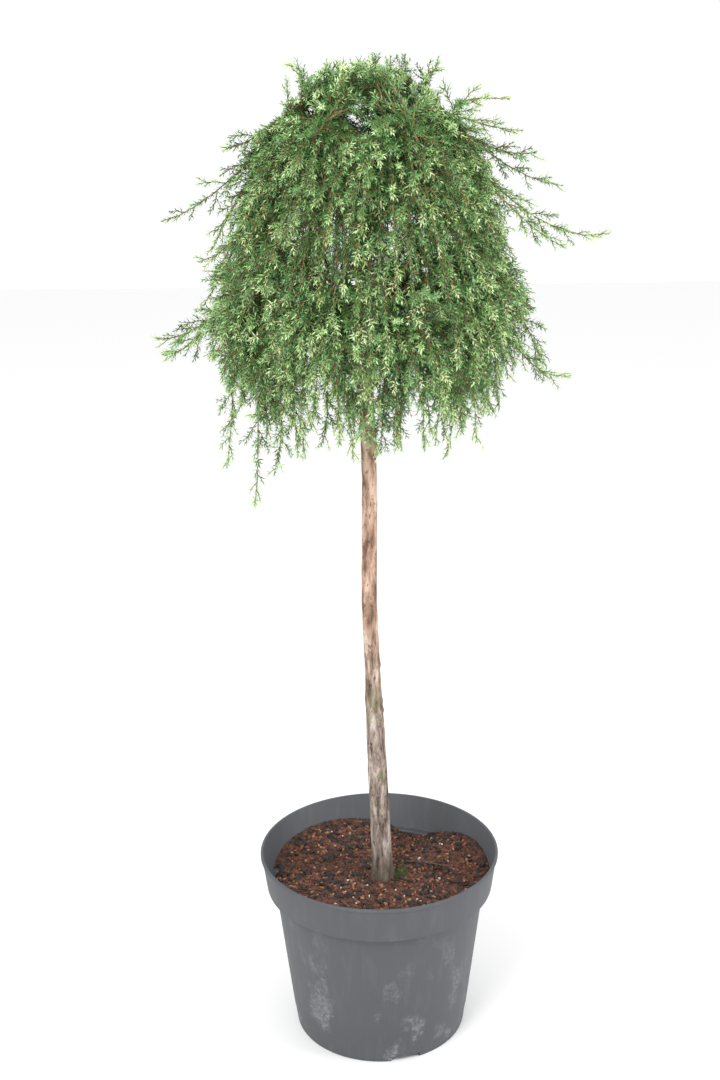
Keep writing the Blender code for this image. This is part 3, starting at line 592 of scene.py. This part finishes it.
def cut_channels(pot):
    """Cut the channels under the pot's floor, and keep its corners sharp."""
    for number in range(CHANNELS):
        body = bmesh.new()
        bmesh.ops.create_cube(body, size=1.0)
        far = BASE_RADIUS + 0.05
        bearing = math.radians(CHANNEL_BEARING + 360.0 / CHANNELS * number)
        size = Matrix.Diagonal((far - CHANNEL_START, CHANNEL_WIDTH, 2 * CHANNEL_HEIGHT, 1.0))
        shift = Matrix.Translation(((far + CHANNEL_START) / 2, 0.0, 0.0))
        body.transform(Matrix.Rotation(bearing, 4, "Z") @ shift @ size)
        cutter = bpy.data.objects.new("channel", finish_mesh("channel", body))
        bpy.context.scene.collection.objects.link(cutter)
        boolean = pot.modifiers.new("channel", "BOOLEAN")
        boolean.operation = "DIFFERENCE"
        boolean.object = cutter
        graph = bpy.context.evaluated_depsgraph_get()
        mesh = bpy.data.meshes.new_from_object(pot.evaluated_get(graph))
        pot.modifiers.clear()
        pot.data = mesh
        bpy.data.objects.remove(cutter)
    pot.data.shade_smooth()
    pot.data.set_sharp_from_angle(angle=math.radians(POT_CREASE))


def ridge(x, y, z):
    """Bark relief as a share of its depth: swells, raised plates and fine grain, long in height."""
    swell, plate, grain = (
        Vector((x * across, y * across, z * upward)) for across, upward in RIDGE_SCALES
    )
    raised = max(0.0, noise.noise(plate + Vector((7.0, 3.0, 1.0)))) ** 0.5
    return noise.noise(swell) * 0.6 + raised * 0.7 + noise.noise(grain) * 0.25


def stem_mesh():
    """Stem with bark relief, a root flare, and the knots where side shoots were cut away."""
    chance = random.Random(KNOT_SEED)
    knots = []
    for _ in range(KNOTS):
        at = chance.uniform(*KNOT_HEIGHTS)
        bearing = chance.uniform(0.0, math.tau)
        knots.append((at, bearing, chance.uniform(*KNOT_SIZES)))
    foot_z = STEM_LEAN[0][0] - STEM_SUNK
    length = STEM_TOP_Z - STEM_LEAN[0][0] + STEM_SUNK

    def shape(turn, run):
        z = foot_z + length * run
        angle = turn * math.tau
        radius = along(STEM_RADII, z)
        x, y = math.cos(angle), math.sin(angle)
        rough = STEM_RELIEF_LOW if z < STEM_ROUGH_TOP else STEM_RELIEF_HIGH
        radius += rough * ridge(x * radius, y * radius, z)
        for at, bearing, size in knots:
            if abs(z - at) < KNOT_FAR:
                off = (angle - bearing + math.pi) % math.tau - math.pi
                away = ((z - at) / KNOT_HALF_HEIGHT) ** 2 + (off * radius / KNOT_HALF_WIDTH) ** 2
                radius += KNOT_RISE * size * math.exp(-away)
        buttress = max(0.0, FLARE_TOP - z) / FLARE_DEPTH
        radius += FLARE_LOBE * buttress * math.sin(angle * FLARE_LOBES + 1.0)
        return stem_middle(z) + Vector((x * radius, y * radius, 0.0))

    return finish_mesh("trunk_bark", rolled(*STEM_GRID, shape))


def bough_foot(bearing, foot_z, bend):
    surface = along(STEM_RADII, foot_z)
    bend_reach, climb = bend
    reach = surface
    for _ in range(4):
        tilt = climb / math.hypot(bend_reach - reach, climb)
        reach = surface + BOUGH_FOOT_RADIUS * FOOT_EDGE_SHARE * tilt + STEM_KNOB * KNOB_SHARE + GAP
    return polar(bearing, reach, foot_z, stem_middle(foot_z).x)


def bough_line(tier, bearing, number):
    """Foot, bend and tip of the bough that carries a mass."""
    if tier == "cap":
        foot_z = STEM_TOP_Z - CAP_BOUGH_DROP - CAP_BOUGH_STEP * (number % 3)
        bend_reach, climb = CAP_BOUGH_BEND
        tip_z = CAP_BOUGH_TIP_Z + CAP_BOUGH_TIP_RANGE * spread(number, 0.3)
        tip = polar(bearing, CAP_BOUGH_TIP_REACH, tip_z, CROWN_X)
    else:
        foot_z = SKIRT_BOUGH_Z + SKIRT_BOUGH_RANGE * spread(number, 0.15)
        bend_reach, climb = SKIRT_BOUGH_BEND
        tip = polar(bearing, SKIRT_BOUGH_TIP[0], foot_z + SKIRT_BOUGH_TIP[1], CROWN_X)
    foot = bough_foot(bearing, foot_z, (bend_reach, climb))
    bend = polar(bearing, bend_reach, foot_z + climb, CROWN_X)
    return foot, bend, tip


def mass_stem_curve(tier, bearing, number):
    """Curve of the stem that a mass grows on, from its bough's tip."""
    _, bend, tip = bough_line(tier, bearing, number)
    run = (tip - bend).normalized()
    if tier == "cap":
        end = polar(bearing, *CAP_STEM_END, CROWN_X)
        lead = polar(bearing, *CAP_STEM_LEAD, CROWN_X)
    else:
        end_z = min(SKIRT_STEM_END[1], tip.z + SKIRT_STEM_RISE[1])
        lead_z = min(SKIRT_STEM_LEAD[1], tip.z + SKIRT_STEM_RISE[0])
        end = polar(bearing, SKIRT_STEM_END[0], end_z, CROWN_X)
        lead = polar(bearing, SKIRT_STEM_LEAD[0], lead_z, CROWN_X)
    return tip, tip + run * MASS_STEM_START, lead, end


def limb_mesh(name, curve, first, last, around=18, lengthwise=40, sunk=0.0):
    """A limb swept along a curve with a little bark relief, tapering from first to last."""
    points = [bezier(*curve, share / lengthwise) for share in range(lengthwise + 1)]
    start_run = (points[1] - points[0]).normalized()
    points[0] = points[0] - start_run * sunk

    def shape(turn, run):
        place_in = run * lengthwise
        index = min(int(place_in + 0.5), lengthwise)
        ahead = points[min(index + 1, lengthwise)]
        behind = points[max(index - 1, 0)]
        way = (ahead - behind).normalized()
        side, rise = frame_of(way)
        angle = turn * math.tau
        centre = points[index]
        out = side * math.cos(angle) - rise * math.sin(angle)
        radius = first + (last - first) * run
        spot = centre * LIMB_LUMP_SCALE + out * 1.3
        radius *= 1.0 + LIMB_LUMPS * noise.noise(spot) + LIMB_GRAIN * noise.noise(spot * 2.7)
        return centre + out * radius

    return finish_mesh(name, rolled(around, lengthwise, shape))


# Meshes from arrays, for the many small things


def array_mesh(name, points, faces):
    """Mesh of an (n, 3) array of points and an (m, 3 or 4) array of faces."""
    mesh = bpy.data.meshes.new(name)
    sides = faces.shape[1]
    mesh.vertices.add(len(points))
    mesh.vertices.foreach_set("co", points.astype(np.float32).ravel())
    mesh.loops.add(faces.size)
    mesh.loops.foreach_set("vertex_index", faces.astype(np.int32).ravel())
    mesh.polygons.add(len(faces))
    mesh.polygons.foreach_set("loop_start", np.arange(0, faces.size, sides, dtype=np.int32))
    mesh.update(calc_edges=True)
    mesh.validate()
    return mesh


def curve_at(curves, share):
    """Points and unit directions on cubic curves (n, 4, 3) at shares (n,)."""
    s = share[:, None]
    r = 1.0 - s
    a, b, c, d = (curves[:, i] for i in range(4))
    point = a * r**3 + b * (3 * s * r**2) + c * (3 * s**2 * r) + d * s**3
    way = (b - a) * r**2 + (c - b) * (2 * s * r) + (d - c) * s**2
    way /= np.linalg.norm(way, axis=1, keepdims=True) + 1e-12
    return point, way


def square_to(way):
    """Two unit directions square to each direction of an (n, 3) array."""
    up = np.where(np.abs(way[:, 2:3]) < 0.95, (0.0, 0.0, 1.0), (1.0, 0.0, 0.0))
    side = np.cross(way, up)
    side /= np.linalg.norm(side, axis=1, keepdims=True)
    return side, np.cross(side, way)


def tubes(curves, first, last, sides, rings):
    """Points and faces of tapered tubes along cubic curves, open at both ends."""
    count = len(curves)
    points = np.zeros((count, rings, sides, 3))
    for ring in range(rings):
        share = ring / (rings - 1)
        centre, way = curve_at(curves, np.full(count, share))
        side, rise = square_to(way)
        radius = (first + (last - first) * share)[:, None]
        for corner in range(sides):
            angle = math.tau * corner / sides
            points[:, ring, corner] = centre + (side * math.cos(angle) + rise * math.sin(angle)) * radius
    faces = []
    for ring in range(rings - 1):
        for corner in range(sides):
            after = (corner + 1) % sides
            near, far = ring * sides, (ring + 1) * sides
            faces.append((near + corner, far + corner, far + after, near + after))
    base = np.arange(count)[:, None, None] * (rings * sides)
    return points.reshape(-1, 3), (np.array(faces)[None] + base).reshape(-1, 4)


def needle_arrays(curves, lengths, classes, sizes, seed):
    """Needles in whorls of three along the shoots: arrays (n, 4, 3) of kites and their colours."""
    chance = np.random.default_rng(seed)
    whorls = np.maximum(2, (lengths / NEEDLE_PITCH).astype(int))
    owner = np.repeat(np.arange(len(curves)), whorls * 3)
    start = np.repeat(np.cumsum(whorls * 3) - whorls * 3, whorls * 3)
    order = np.arange(len(owner)) - start
    whorl = order // 3
    share = (whorl + 0.6 + chance.uniform(-0.25, 0.25, len(owner))) / whorls[owner]
    share = np.clip(share, 0.0, 1.0)
    point, way = curve_at(curves[owner], share)
    side, rise = square_to(way)
    angle = whorl * WHORL_TURN + (order % 3) * (math.tau / 3)
    angle = angle + chance.uniform(-NEEDLE_TURN, NEEDLE_TURN, len(owner))
    out = side * np.cos(angle)[:, None] + rise * np.sin(angle)[:, None]
    vary = chance.uniform(-NEEDLE_TILT_RANGE, NEEDLE_TILT_RANGE, len(owner))
    tilt = np.radians(NEEDLE_TILT - NEEDLE_TILT_FALL * share**2 + vary)[:, None]
    lean = way * np.cos(tilt) + out * np.sin(tilt)
    long = sizes[owner] * (1.0 - TIP_SHORTER * share**3) * chance.uniform(*NEEDLE_LENGTHS, len(owner))
    across = np.cross(lean, out)
    across /= np.linalg.norm(across, axis=1, keepdims=True) + 1e-9
    fold = np.cross(across, lean)
    wide = (NEEDLE_WIDTH * 0.5 * (sizes[owner] / NEEDLE_LENGTH))[:, None]
    long = long[:, None]
    kite = np.empty((len(owner), 4, 3))
    kite[:, 0] = point
    kite[:, 1] = point + lean * long * NEEDLE_WIDEST + across * wide + fold * wide * NEEDLE_HOLLOW
    kite[:, 2] = point + lean * long + fold * long * NEEDLE_CURL
    kite[:, 3] = point + lean * long * NEEDLE_WIDEST - across * wide + fold * wide * NEEDLE_HOLLOW
    tint = classes[owner].copy()
    fresh = share > FRESH_FROM
    tint[fresh] = np.minimum(tint[fresh] + 1, FRESH)
    return kite, tint


# Growth


def masses():
    """Each mass as (tier, bearing, half width, number in its tier)."""
    made = []
    for tier, count in (("cap", CAP_MASSES), ("skirt", SKIRT_MASSES)):
        for number in range(count):
            made.append((tier, 360.0 / count * number, 180.0 / count, number))
    return made


def shoot_tips(tier, bearing, half_width, number):
    """Tips of a mass's leading shoots as (bearing, reach, height, droop)."""
    chance = random.Random(TIP_SEED + number + (SKIRT_SEED if tier == "skirt" else 0))
    tips = []
    for tip in CAP_LONG_SHOOTS if tier == "cap" else SKIRT_LONG_SHOOTS:
        if abs((tip[0] - bearing + 180.0) % 360.0 - 180.0) <= half_width:
            tips.append(tip)
    counted = 0
    for row, (level, count, droop) in enumerate(CAP_ROWS if tier == "cap" else SKIRT_ROWS):
        for _ in range(count):
            counted += 1
            z = level + chance.uniform(-ROW_RISE, ROW_RISE)
            reach = along(DOME, z) + chance.uniform(*ROW_REACHES)
            if row == 0 and tier == "cap":
                z = TOP_Z + chance.uniform(*TOP_RISES)
                reach = TOP_REACH + TOP_REACH_RANGE * spread(counted, 0.2)
            turn = bearing + half_width * ROW_SPREAD * (2.0 * spread(counted, 0.11 * number) - 1.0)
            tips.append((turn, reach, z, droop + chance.uniform(-ROW_DROOP, ROW_DROOP)))
    low, high, count = CAP_EDGES if tier == "cap" else SKIRT_EDGES
    for index in range(count):
        z = chance.uniform(low, high)
        side = half_width * chance.uniform(*EDGE_SHARES) * (1 if index % 2 else -1)
        reach = along(DOME, z) + chance.uniform(*EDGE_REACHES)
        tips.append((bearing + side, reach, z, chance.uniform(*EDGE_DROOPS)))
    low, high, count = CAP_INSIDE if tier == "cap" else SKIRT_INSIDE
    for _ in range(count):
        z = chance.uniform(low, high)
        turn = bearing + half_width * chance.uniform(-1.0, 1.0)
        reach = along(DOME, z) * chance.uniform(*INSIDE_SHARES)
        tips.append((turn, reach, z, chance.uniform(*INSIDE_DROOPS)))
    return tips


def shoot_curve(stem, tip, root_share, chance):
    """Curve of a leading shoot from its mass's stem, out and over, down to its tip."""
    turn, reach, z, droop = tip
    end = polar(turn, reach, z, CROWN_X)
    root = bezier(*stem, root_share)
    span = (end - root).length
    fall = math.radians(droop)
    way = polar(turn, math.cos(fall), -math.sin(fall))
    climb = SHOOT_CLIMB if z > root.z - LOW_SHOOT_DROP else SHOOT_CLIMB * LOW_SHOOT_CLIMB
    outward = polar(turn, 1.0, climb).normalized()
    sway = Vector((chance.uniform(-1, 1), chance.uniform(-1, 1), 0.0)) * SHOOT_SWAY
    pull = root + outward * (span * SHOOT_PULL) + sway
    lead = end - way * (span * SHOOT_LEAD) - sway * 0.5
    return root, pull, lead, end


def drawn_in(point):
    """A point brought back to the dome's own reach where it stands past it."""
    lean = along(STEM_LEAN, point.z)
    reach = math.hypot(point.x - lean, point.y)
    share = min(1.0, (along(DOME, point.z) + DOME_SPARE) / max(reach, DOME_SPARE))
    return Vector((lean + (point.x - lean) * share, point.y * share, point.z))


def held_in(curve):
    """A shoot whose middle keeps to the dome, so that the crown's shoulders stay round."""
    foot, leave, bend, tip = curve
    return foot, drawn_in(leave), drawn_in(bend), tip


def side_curve(root, way, out, length, chance):
    """A side shoot: out at a slant, then bending forward with its leader and a little down."""
    slant = math.radians(chance.uniform(*SIDE_SLANTS))
    first = way * math.cos(slant) + out * math.sin(slant)
    down = Vector((0.0, 0.0, -1.0))
    second = (first * 0.75 + way * 0.35 + down * chance.uniform(*SIDE_SINKS[0])).normalized()
    third = (first * 0.45 + way * 0.60 + down * chance.uniform(*SIDE_SINKS[1])).normalized()
    reach = length / 3.0
    leave = root + first * reach
    bend = leave + second * reach
    return root, leave, bend, bend + third * reach


def frame_of(way):
    """Two unit directions square to a direction."""
    side = way.cross(Vector((0.0, 0.0, 1.0)))
    if side.length < 0.05:
        side = way.cross(Vector((0.0, 1.0, 0.0)))
    side.normalize()
    return side, side.cross(way)


def grow():
    """All shoots of the crown, and the stems of its masses as (tier, number, curve)."""
    shoots = []
    stems = []
    for tier, bearing, half_width, number in masses():
        chance = random.Random(SHOOT_SEED + number + (SKIRT_SEED if tier == "skirt" else 0))
        stem = mass_stem_curve(tier, bearing, number)
        stems.append((tier, number, stem))
        for place_in, tip in enumerate(shoot_tips(tier, bearing, half_width, number)):
            root_share = ROOT_SHARE + ROOT_SHARE_RANGE * spread(place_in, 0.37)
            grow_leader(shoots, held_in(shoot_curve(stem, tip, root_share, chance)), chance)
    return shoots, stems


def way_along(curve, share, near):
    """Unit direction of a curve at a share, from points a little before and after it."""
    return (bezier(*curve, min(1.0, share + near)) - bezier(*curve, share - near)).normalized()


def fullness(share):
    """Length of side shoots along a leader: full round its middle, less towards foot and tip."""
    rise = min(1.0, FULL_FOOT + share * FULL_RISE)
    return rise * (1.0 if share < FULL_END else 1.0 - FULL_FALL * (share - FULL_END))


def grow_leader(shoots, curve, chance):
    """Add a leading shoot, with its side shoots in a spiral and their sprigs."""
    span = sum((bezier(*curve, (i + 1) / 8) - bezier(*curve, i / 8)).length for i in range(8))
    tone = chance.random()
    green = GREY_GREEN if tone > 0.5 else DEEP_GREEN
    shoots.append(Shoot(curve, span, green, NEEDLE_LENGTH, *LEADER_RADII, "leader"))
    bare = min(LEADER_BARE_MOST, LEADER_BARE / span)
    count = int(span * (1.0 - bare) / SIDE_PITCH)
    turn = chance.uniform(0.0, math.tau)
    for index in range(count):
        share = bare + (LAST_SIDE_SHARE - bare) * (index + chance.uniform(0.2, 0.8)) / count
        way = way_along(curve, share, 0.02)
        side, rise = frame_of(way)
        turn += GOLDEN_TURN
        out = side * math.cos(turn) + rise * math.sin(turn)
        low, high = SIDE_LENGTHS
        length = (low + (high - low) * chance.random()) * max(LEAST_SIDE_SHARE, fullness(share))
        colour = colour_class(share, tone, chance)
        part = side_curve(bezier(*curve, share), way, out, length, chance)
        shoots.append(Shoot(part, length, colour, SIDE_NEEDLES, *SIDE_RADII, "side"))
        if length > SPRIG_LEAST:
            grow_sprigs(shoots, part, length, colour, chance)


def grow_sprigs(shoots, part, length, colour, chance):
    """Add two or three short sprigs to a side shoot."""
    turn = chance.uniform(0.0, math.tau)
    for share in SPRIG_SHARES[: 2 if length < THREE_SPRIGS_FROM else 3]:
        way = way_along(part, share, 0.05)
        side, rise = frame_of(way)
        turn += GOLDEN_TURN
        out = side * math.cos(turn) + rise * math.sin(turn)
        short = chance.uniform(*SPRIG_LENGTHS)
        sprig = side_curve(bezier(*part, share), way, out, short, chance)
        shoots.append(Shoot(sprig, short, colour, SPRIG_NEEDLES, *SPRIG_RADII, "sprig"))


def colour_class(share, tone, chance):
    """Mostly shaded near the leader's foot, green along it, and mostly fresh at its end."""
    draw = chance.random() + TONE_PULL * (tone - 0.5)
    if share < FOOT_SHARE:
        return SHADED if draw < FOOT_SHADED else DEEP_GREEN
    if share > END_SHARE:
        return FRESH if draw > END_LIGHT else LIGHT_GREEN
    for below, colour in GREEN_DRAWS:
        if draw < below:
            return colour
    return LIGHT_GREEN


def clip_kites(kites, tints):
    """Leave out needles past the room round the solids' box, and needles in the stem."""
    low = np.array(CAD_LOW) - BOX_SPARE
    high = np.array(CAD_HIGH) + BOX_SPARE
    keep = np.all((kites.min(axis=1) > low) & (kites.max(axis=1) < high), axis=1)
    x = kites[:, 0, 0]
    z = kites[:, 0, 2]
    lean = np.interp(z, [row[0] for row in STEM_LEAN], [row[1] for row in STEM_LEAN])
    keep &= np.hypot(x - lean, kites[:, 0, 1]) > STEM_CLEAR
    return kites[keep], tints[keep]


def make_crown():
    """Needles, twigs, limbs and boughs in place of the solid boughs and masses."""
    shoots, stems = grow()
    foliage = [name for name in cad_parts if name.startswith("foliage")]
    curves = np.array([[tuple(point) for point in shoot.curve] for shoot in shoots])
    lengths = np.array([shoot.length for shoot in shoots])
    classes = np.array([shoot.colour for shoot in shoots])
    sizes = np.array([shoot.needle for shoot in shoots])
    first = np.array([shoot.foot_radius for shoot in shoots])
    last = np.array([shoot.tip_radius for shoot in shoots])
    kinds = np.array([shoot.kind for shoot in shoots])
    bark = twig_bark_look()
    kites, tints = clip_kites(*needle_arrays(curves, lengths, classes, sizes, NEEDLE_SEED))
    for tint, (name, colour, roughness) in enumerate(NEEDLE_LOOKS):
        chosen = kites[tints == tint]
        made = look(name, colour, roughness)
        parts = max(1, math.ceil(len(chosen) * 2 / MOST_TRIANGLES))
        for number, part in enumerate(np.array_split(chosen, parts)):
            corner = np.arange(len(part))[:, None] * 4
            faces = np.concatenate([corner + (0, 1, 2), corner + (0, 2, 3)])
            mesh = array_mesh(f"{name}_{number + 1}", part.reshape(-1, 3), faces)
            piece(f"{name}_{number + 1}", mesh, made, foliage, smooth=False)
    for kind, sides, rings in TWIG_GRIDS:
        mine = np.flatnonzero(kinds == kind)
        parts = max(1, math.ceil(len(mine) * sides * rings * 2 / MOST_TRIANGLES))
        for number, part in enumerate(np.array_split(mine, parts)):
            name = f"twigs_{kind}_{number + 1}"
            points, faces = tubes(curves[part], first[part], last[part], sides, rings)
            piece(name, array_mesh(name, points, faces), bark, foliage)
    for tier, number, stem in stems:
        name = f"limb_{tier}_{number + 1}"
        mesh = limb_mesh(name, stem, *MASS_STEM_RADII, around=14, lengthwise=26, sunk=GAP)
        piece(name, mesh, bark, [f"foliage_{tier}_{number + 1}"])
    for tier, bearing, _, number in masses():
        foot, bend, tip = bough_line(tier, bearing, number)
        name = f"bough_bark_{tier}_{number + 1}"
        curve = (foot, foot.lerp(bend, BOUGH_LEAVE), bend, tip)
        end_radius = BOUGH_TIP_RADIUS * BOUGH_END_SHARE
        mesh = limb_mesh(name, curve, BOUGH_FOOT_RADIUS, end_radius, sunk=BOUGH_SUNK)
        piece(name, mesh, bark, [f"bough_{tier}_{number + 1}"])


# Pot and soil


def soil_height(x, y):
    reach = math.hypot(x, y)
    bearing = math.degrees(math.atan2(y, x)) % 360.0
    spread_out = max(0.0, min(1.0, (reach - SOIL_FLAT_RADIUS) / (SOIL_SWELL_REACH - SOIL_FLAT_RADIUS)))
    z = SOIL_Z
    for middle, half_width, rise in SOIL_SWELLS:
        away = abs((bearing - middle + 180.0) % 360.0 - 180.0) / half_width
        z += rise * spread_out * math.exp(-away * away)
    return z


def inner_radius(z):
    if z < COLLAR_FOOT_Z + POT_WALL:
        return body_radius(z) - POT_WALL
    share = (z - COLLAR_FOOT_Z) / (POT_HEIGHT - COLLAR_FOOT_Z)
    return COLLAR_FOOT_RADIUS - POT_WALL + (COLLAR_TOP_RADIUS - COLLAR_FOOT_RADIUS) * share


def crumb_height(x, y):
    spot = Vector((x, y, 0.0))
    large, middling, small = (noise.noise(spot * scale) for scale in CRUMB_SCALES)
    lumps = large * 0.8 + middling + small * 0.6
    return soil_height(x, y) + SOIL_LIFT + SOIL_ROUGH * 0.6 * lumps


def soil_mesh():
    """Top of the growing bark, in lumps, from the stem out to the wall."""

    def shape(turn, run):
        angle = turn * math.tau
        reach = SOIL_MIDDLE + (SOIL_EDGE - SOIL_MIDDLE) * run
        x, y = reach * math.cos(angle), reach * math.sin(angle)
        z = crumb_height(x, y)
        most = inner_radius(z) - SOIL_WALL_CLEAR
        if reach > most:
            x, y = most * math.cos(angle), most * math.sin(angle)
            z -= (reach - most) * SOIL_WALL_FALL
        return Vector((x, y, z))

    return finish_mesh("soil_top", rolled(*SOIL_GRID, shape, closed_ends=False))


def scatter_points(count, seed, most):
    """Points spread over the growing bark as far as most, and the chance they were drawn by."""
    chance = np.random.default_rng(seed)
    reach = np.sqrt(chance.uniform(LITTER_START**2, most**2, count))
    angle = chance.uniform(0.0, math.tau, count)
    x, y = reach * np.cos(angle), reach * np.sin(angle)
    z = np.array([crumb_height(a, b) for a, b in zip(x, y)])
    return np.stack([x, y, z], axis=1), chance


def chips(count, sizes, seed):
    """Irregular bark chips lying this way and that on the growing bark."""
    centre, chance = scatter_points(count, seed, CHIP_REACH)
    unit = np.array([(x, y, z) for z in (-1, 1) for y in (-1, 1) for x in (-1, 1)], dtype=float)
    half = np.stack([
        chance.uniform(*sizes, count), chance.uniform(*sizes, count) * CHIP_NARROW,
        chance.uniform(*CHIP_THICKNESS, count),
    ], axis=1)
    box = unit[None] * half[:, None] * chance.uniform(*CHIP_CORNERS, (count, 8, 3))
    turn = chance.uniform(0.0, math.tau, count)
    tilt = chance.normal(0.0, CHIP_TILT, count)
    cos, sin = np.cos(turn)[:, None], np.sin(turn)[:, None]
    x = box[..., 0] * np.cos(tilt)[:, None] + box[..., 2] * np.sin(tilt)[:, None]
    z = box[..., 2] * np.cos(tilt)[:, None] - box[..., 0] * np.sin(tilt)[:, None]
    y = box[..., 1]
    turned = np.stack([x * cos - y * sin, x * sin + y * cos, z], axis=2)
    points = turned + centre[:, None] + (0.0, 0.0, CHIP_LIFT)
    face = np.array([(0, 2, 3, 1), (4, 5, 7, 6), (0, 1, 5, 4), (2, 6, 7, 3), (0, 4, 6, 2), (1, 3, 7, 5)])
    faces = face[None] + np.arange(count)[:, None, None] * 8
    return points.reshape(-1, 3), faces.reshape(-1, 4)


def fibres(count, lengths, radius, seed):
    """Thin curling fibres and small sticks as tapered tubes."""
    centre, chance = scatter_points(count, seed, FIBRE_REACH)
    turn = chance.uniform(0.0, math.tau, count)
    way = np.stack([np.cos(turn), np.sin(turn), chance.normal(0.0, 0.22, count)], axis=1)
    side = np.stack([-np.sin(turn), np.cos(turn), chance.uniform(-0.1, 0.5, count)], axis=1)
    long = chance.uniform(*lengths, count)[:, None]
    bow = chance.normal(0.0, FIBRE_BOW, (count, 1)) * long
    curves = np.stack([
        centre - way * long * 0.5, centre - way * long * 0.17 + side * bow,
        centre + way * long * 0.17 + side * bow, centre + way * long * 0.5,
    ], axis=1)
    curves[..., 2] += FIBRE_LIFT
    full = np.full(count, radius)
    return tubes(curves, full, full * FIBRE_TAPER, 3, 5)


def make_pot_and_soil():
    pot = piece("pot_wall", pot_mesh(), pot_look(), ["pot"])
    cut_channels(pot)
    ground = soil_look()
    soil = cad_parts["soil"]
    soil.data.materials.clear()
    soil.data.materials.append(ground)
    piece("soil_top", soil_mesh(), ground, ())
    # Name, how many, half lengths, seed, dark and light colour
    heaps = (
        ("chips_dark", 330, (0.0030, 0.0085), 21, (0.010, 0.008, 0.007), (0.045, 0.030, 0.024)),
        ("chips_red_brown", 560, (0.0016, 0.0048), 22, (0.085, 0.030, 0.018), (0.230, 0.092, 0.052)),
        ("chips_orange", 260, (0.0012, 0.0036), 23, (0.220, 0.095, 0.045), (0.420, 0.220, 0.125)),
        ("perlite_bits", 46, (0.0009, 0.0020), 24, (0.50, 0.47, 0.42), (0.78, 0.75, 0.70)),
    )
    for name, count, sizes, seed, dark, light in heaps:
        mesh = array_mesh(name, *chips(count, sizes, seed))
        piece(name, mesh, chip_look(name, dark, light), (), smooth=False)
    # Name, how many, lengths, radius, seed, dark and light colour
    strands = (
        ("coir_fibres", 1500, (0.006, 0.018), 0.00022, 31, (0.14, 0.050, 0.028), (0.36, 0.165, 0.090)),
        ("dark_sticks", 120, (0.010, 0.030), 0.00070, 32, (0.020, 0.014, 0.011), (0.090, 0.052, 0.034)),
    )
    for name, count, lengths, radius, seed, dark, light in strands:
        mesh = array_mesh(name, *fibres(count, lengths, radius, seed))
        piece(name, mesh, chip_look(name, dark, light), ())
    make_twig_and_moss()


def make_twig_and_moss():
    """The long dead twig that lies by the stem, and the tuft of moss at the stem's foot."""
    foot, tip = Vector(FALLEN_TWIG_FOOT), Vector(FALLEN_TWIG_TIP)
    for point in (foot, tip):
        point.z = crumb_height(point.x, point.y) + FALLEN_TWIG_LIFT
    leave = foot.lerp(tip, 0.35) + Vector((0.0, 0.004, 0.003))
    bend = foot.lerp(tip, 0.7) + Vector((0.0, -0.003, 0.002))
    twig = (foot, leave, bend, tip)
    mesh = limb_mesh("fallen_twig", twig, *FALLEN_TWIG_RADII, around=10, lengthwise=24)
    dark = chip_look("fallen_twig_bark", (0.030, 0.020, 0.015), (0.140, 0.085, 0.060))
    piece("fallen_twig", mesh, dark, ())
    chance = np.random.default_rng(41)
    count = MOSS_STRANDS
    centre = np.stack([
        chance.normal(MOSS_MIDDLE[0], MOSS_SPREAD[0], count),
        chance.normal(MOSS_MIDDLE[1], MOSS_SPREAD[1], count), np.zeros(count),
    ], axis=1)
    centre[:, 2] = [crumb_height(x, y) for x, y in centre[:, :2]]
    up = np.stack([chance.normal(0, 0.5, count), chance.normal(0, 0.5, count), np.ones(count)], axis=1)
    up *= chance.uniform(*MOSS_HEIGHTS, (count, 1))
    curves = np.stack([centre, centre + up * 0.4, centre + up * 0.8, centre + up * (1.2, 1.2, 0.9)], axis=1)
    points, faces = tubes(curves, np.full(count, MOSS_RADII[0]), np.full(count, MOSS_RADII[1]), 3, 3)
    piece("moss_tuft", array_mesh("moss_tuft", points, faces), look("moss", (0.085, 0.120, 0.030), 0.9))


# Stage, light and camera


def make_stage():
    body = bmesh.new()
    bmesh.ops.create_grid(body, x_segments=1, y_segments=1, size=FLOOR_SIZE / 2)
    floor = bpy.data.objects.new("floor", finish_mesh("floor", body))
    floor.data.materials.append(look("studio_white", (0.90, 0.90, 0.90), 0.6))
    bpy.context.scene.collection.objects.link(floor)


def lamp(name, place_at, aim, size, power):
    data = bpy.data.lights.new(name, "AREA")
    data.shape = "DISK"
    data.size = size
    data.energy = power
    made = bpy.data.objects.new(name, data)
    made.location = place_at
    made.rotation_euler = (Vector(aim) - Vector(place_at)).to_track_quat("-Z", "Y").to_euler()
    bpy.context.scene.collection.objects.link(made)


def make_light():
    """Even white light from all round, with a key lamp at the left and a weaker one at the right."""
    world = bpy.data.worlds.new("studio")
    bpy.context.scene.world = world
    world.use_nodes = True
    background = world.node_tree.nodes["Background"]
    background.inputs["Color"].default_value = (1.0, 1.0, 1.0, 1.0)
    background.inputs["Strength"].default_value = WORLD_STRENGTH
    for values in LAMPS:
        lamp(*values)
    bpy.context.scene.view_settings.view_transform = "Standard"


def make_camera():
    data = bpy.data.cameras.new("camera")
    data.sensor_width = CAMERA_SENSOR
    data.lens = CAMERA_LENS
    made = bpy.data.objects.new("camera", data)
    turn = Matrix.Rotation(math.radians(90.0 - CAMERA_PITCH), 4, "X")
    roll = Matrix.Rotation(math.radians(CAMERA_ROLL), 4, "Z")
    made.matrix_world = Matrix.Translation(CAMERA_PLACE) @ turn @ roll
    bpy.context.scene.collection.objects.link(made)
    bpy.context.scene.camera = made


make_stage()
make_light()
make_camera()
make_pot_and_soil()
piece("trunk_bark", stem_mesh(), bark_look(), ["trunk"])
make_crown()
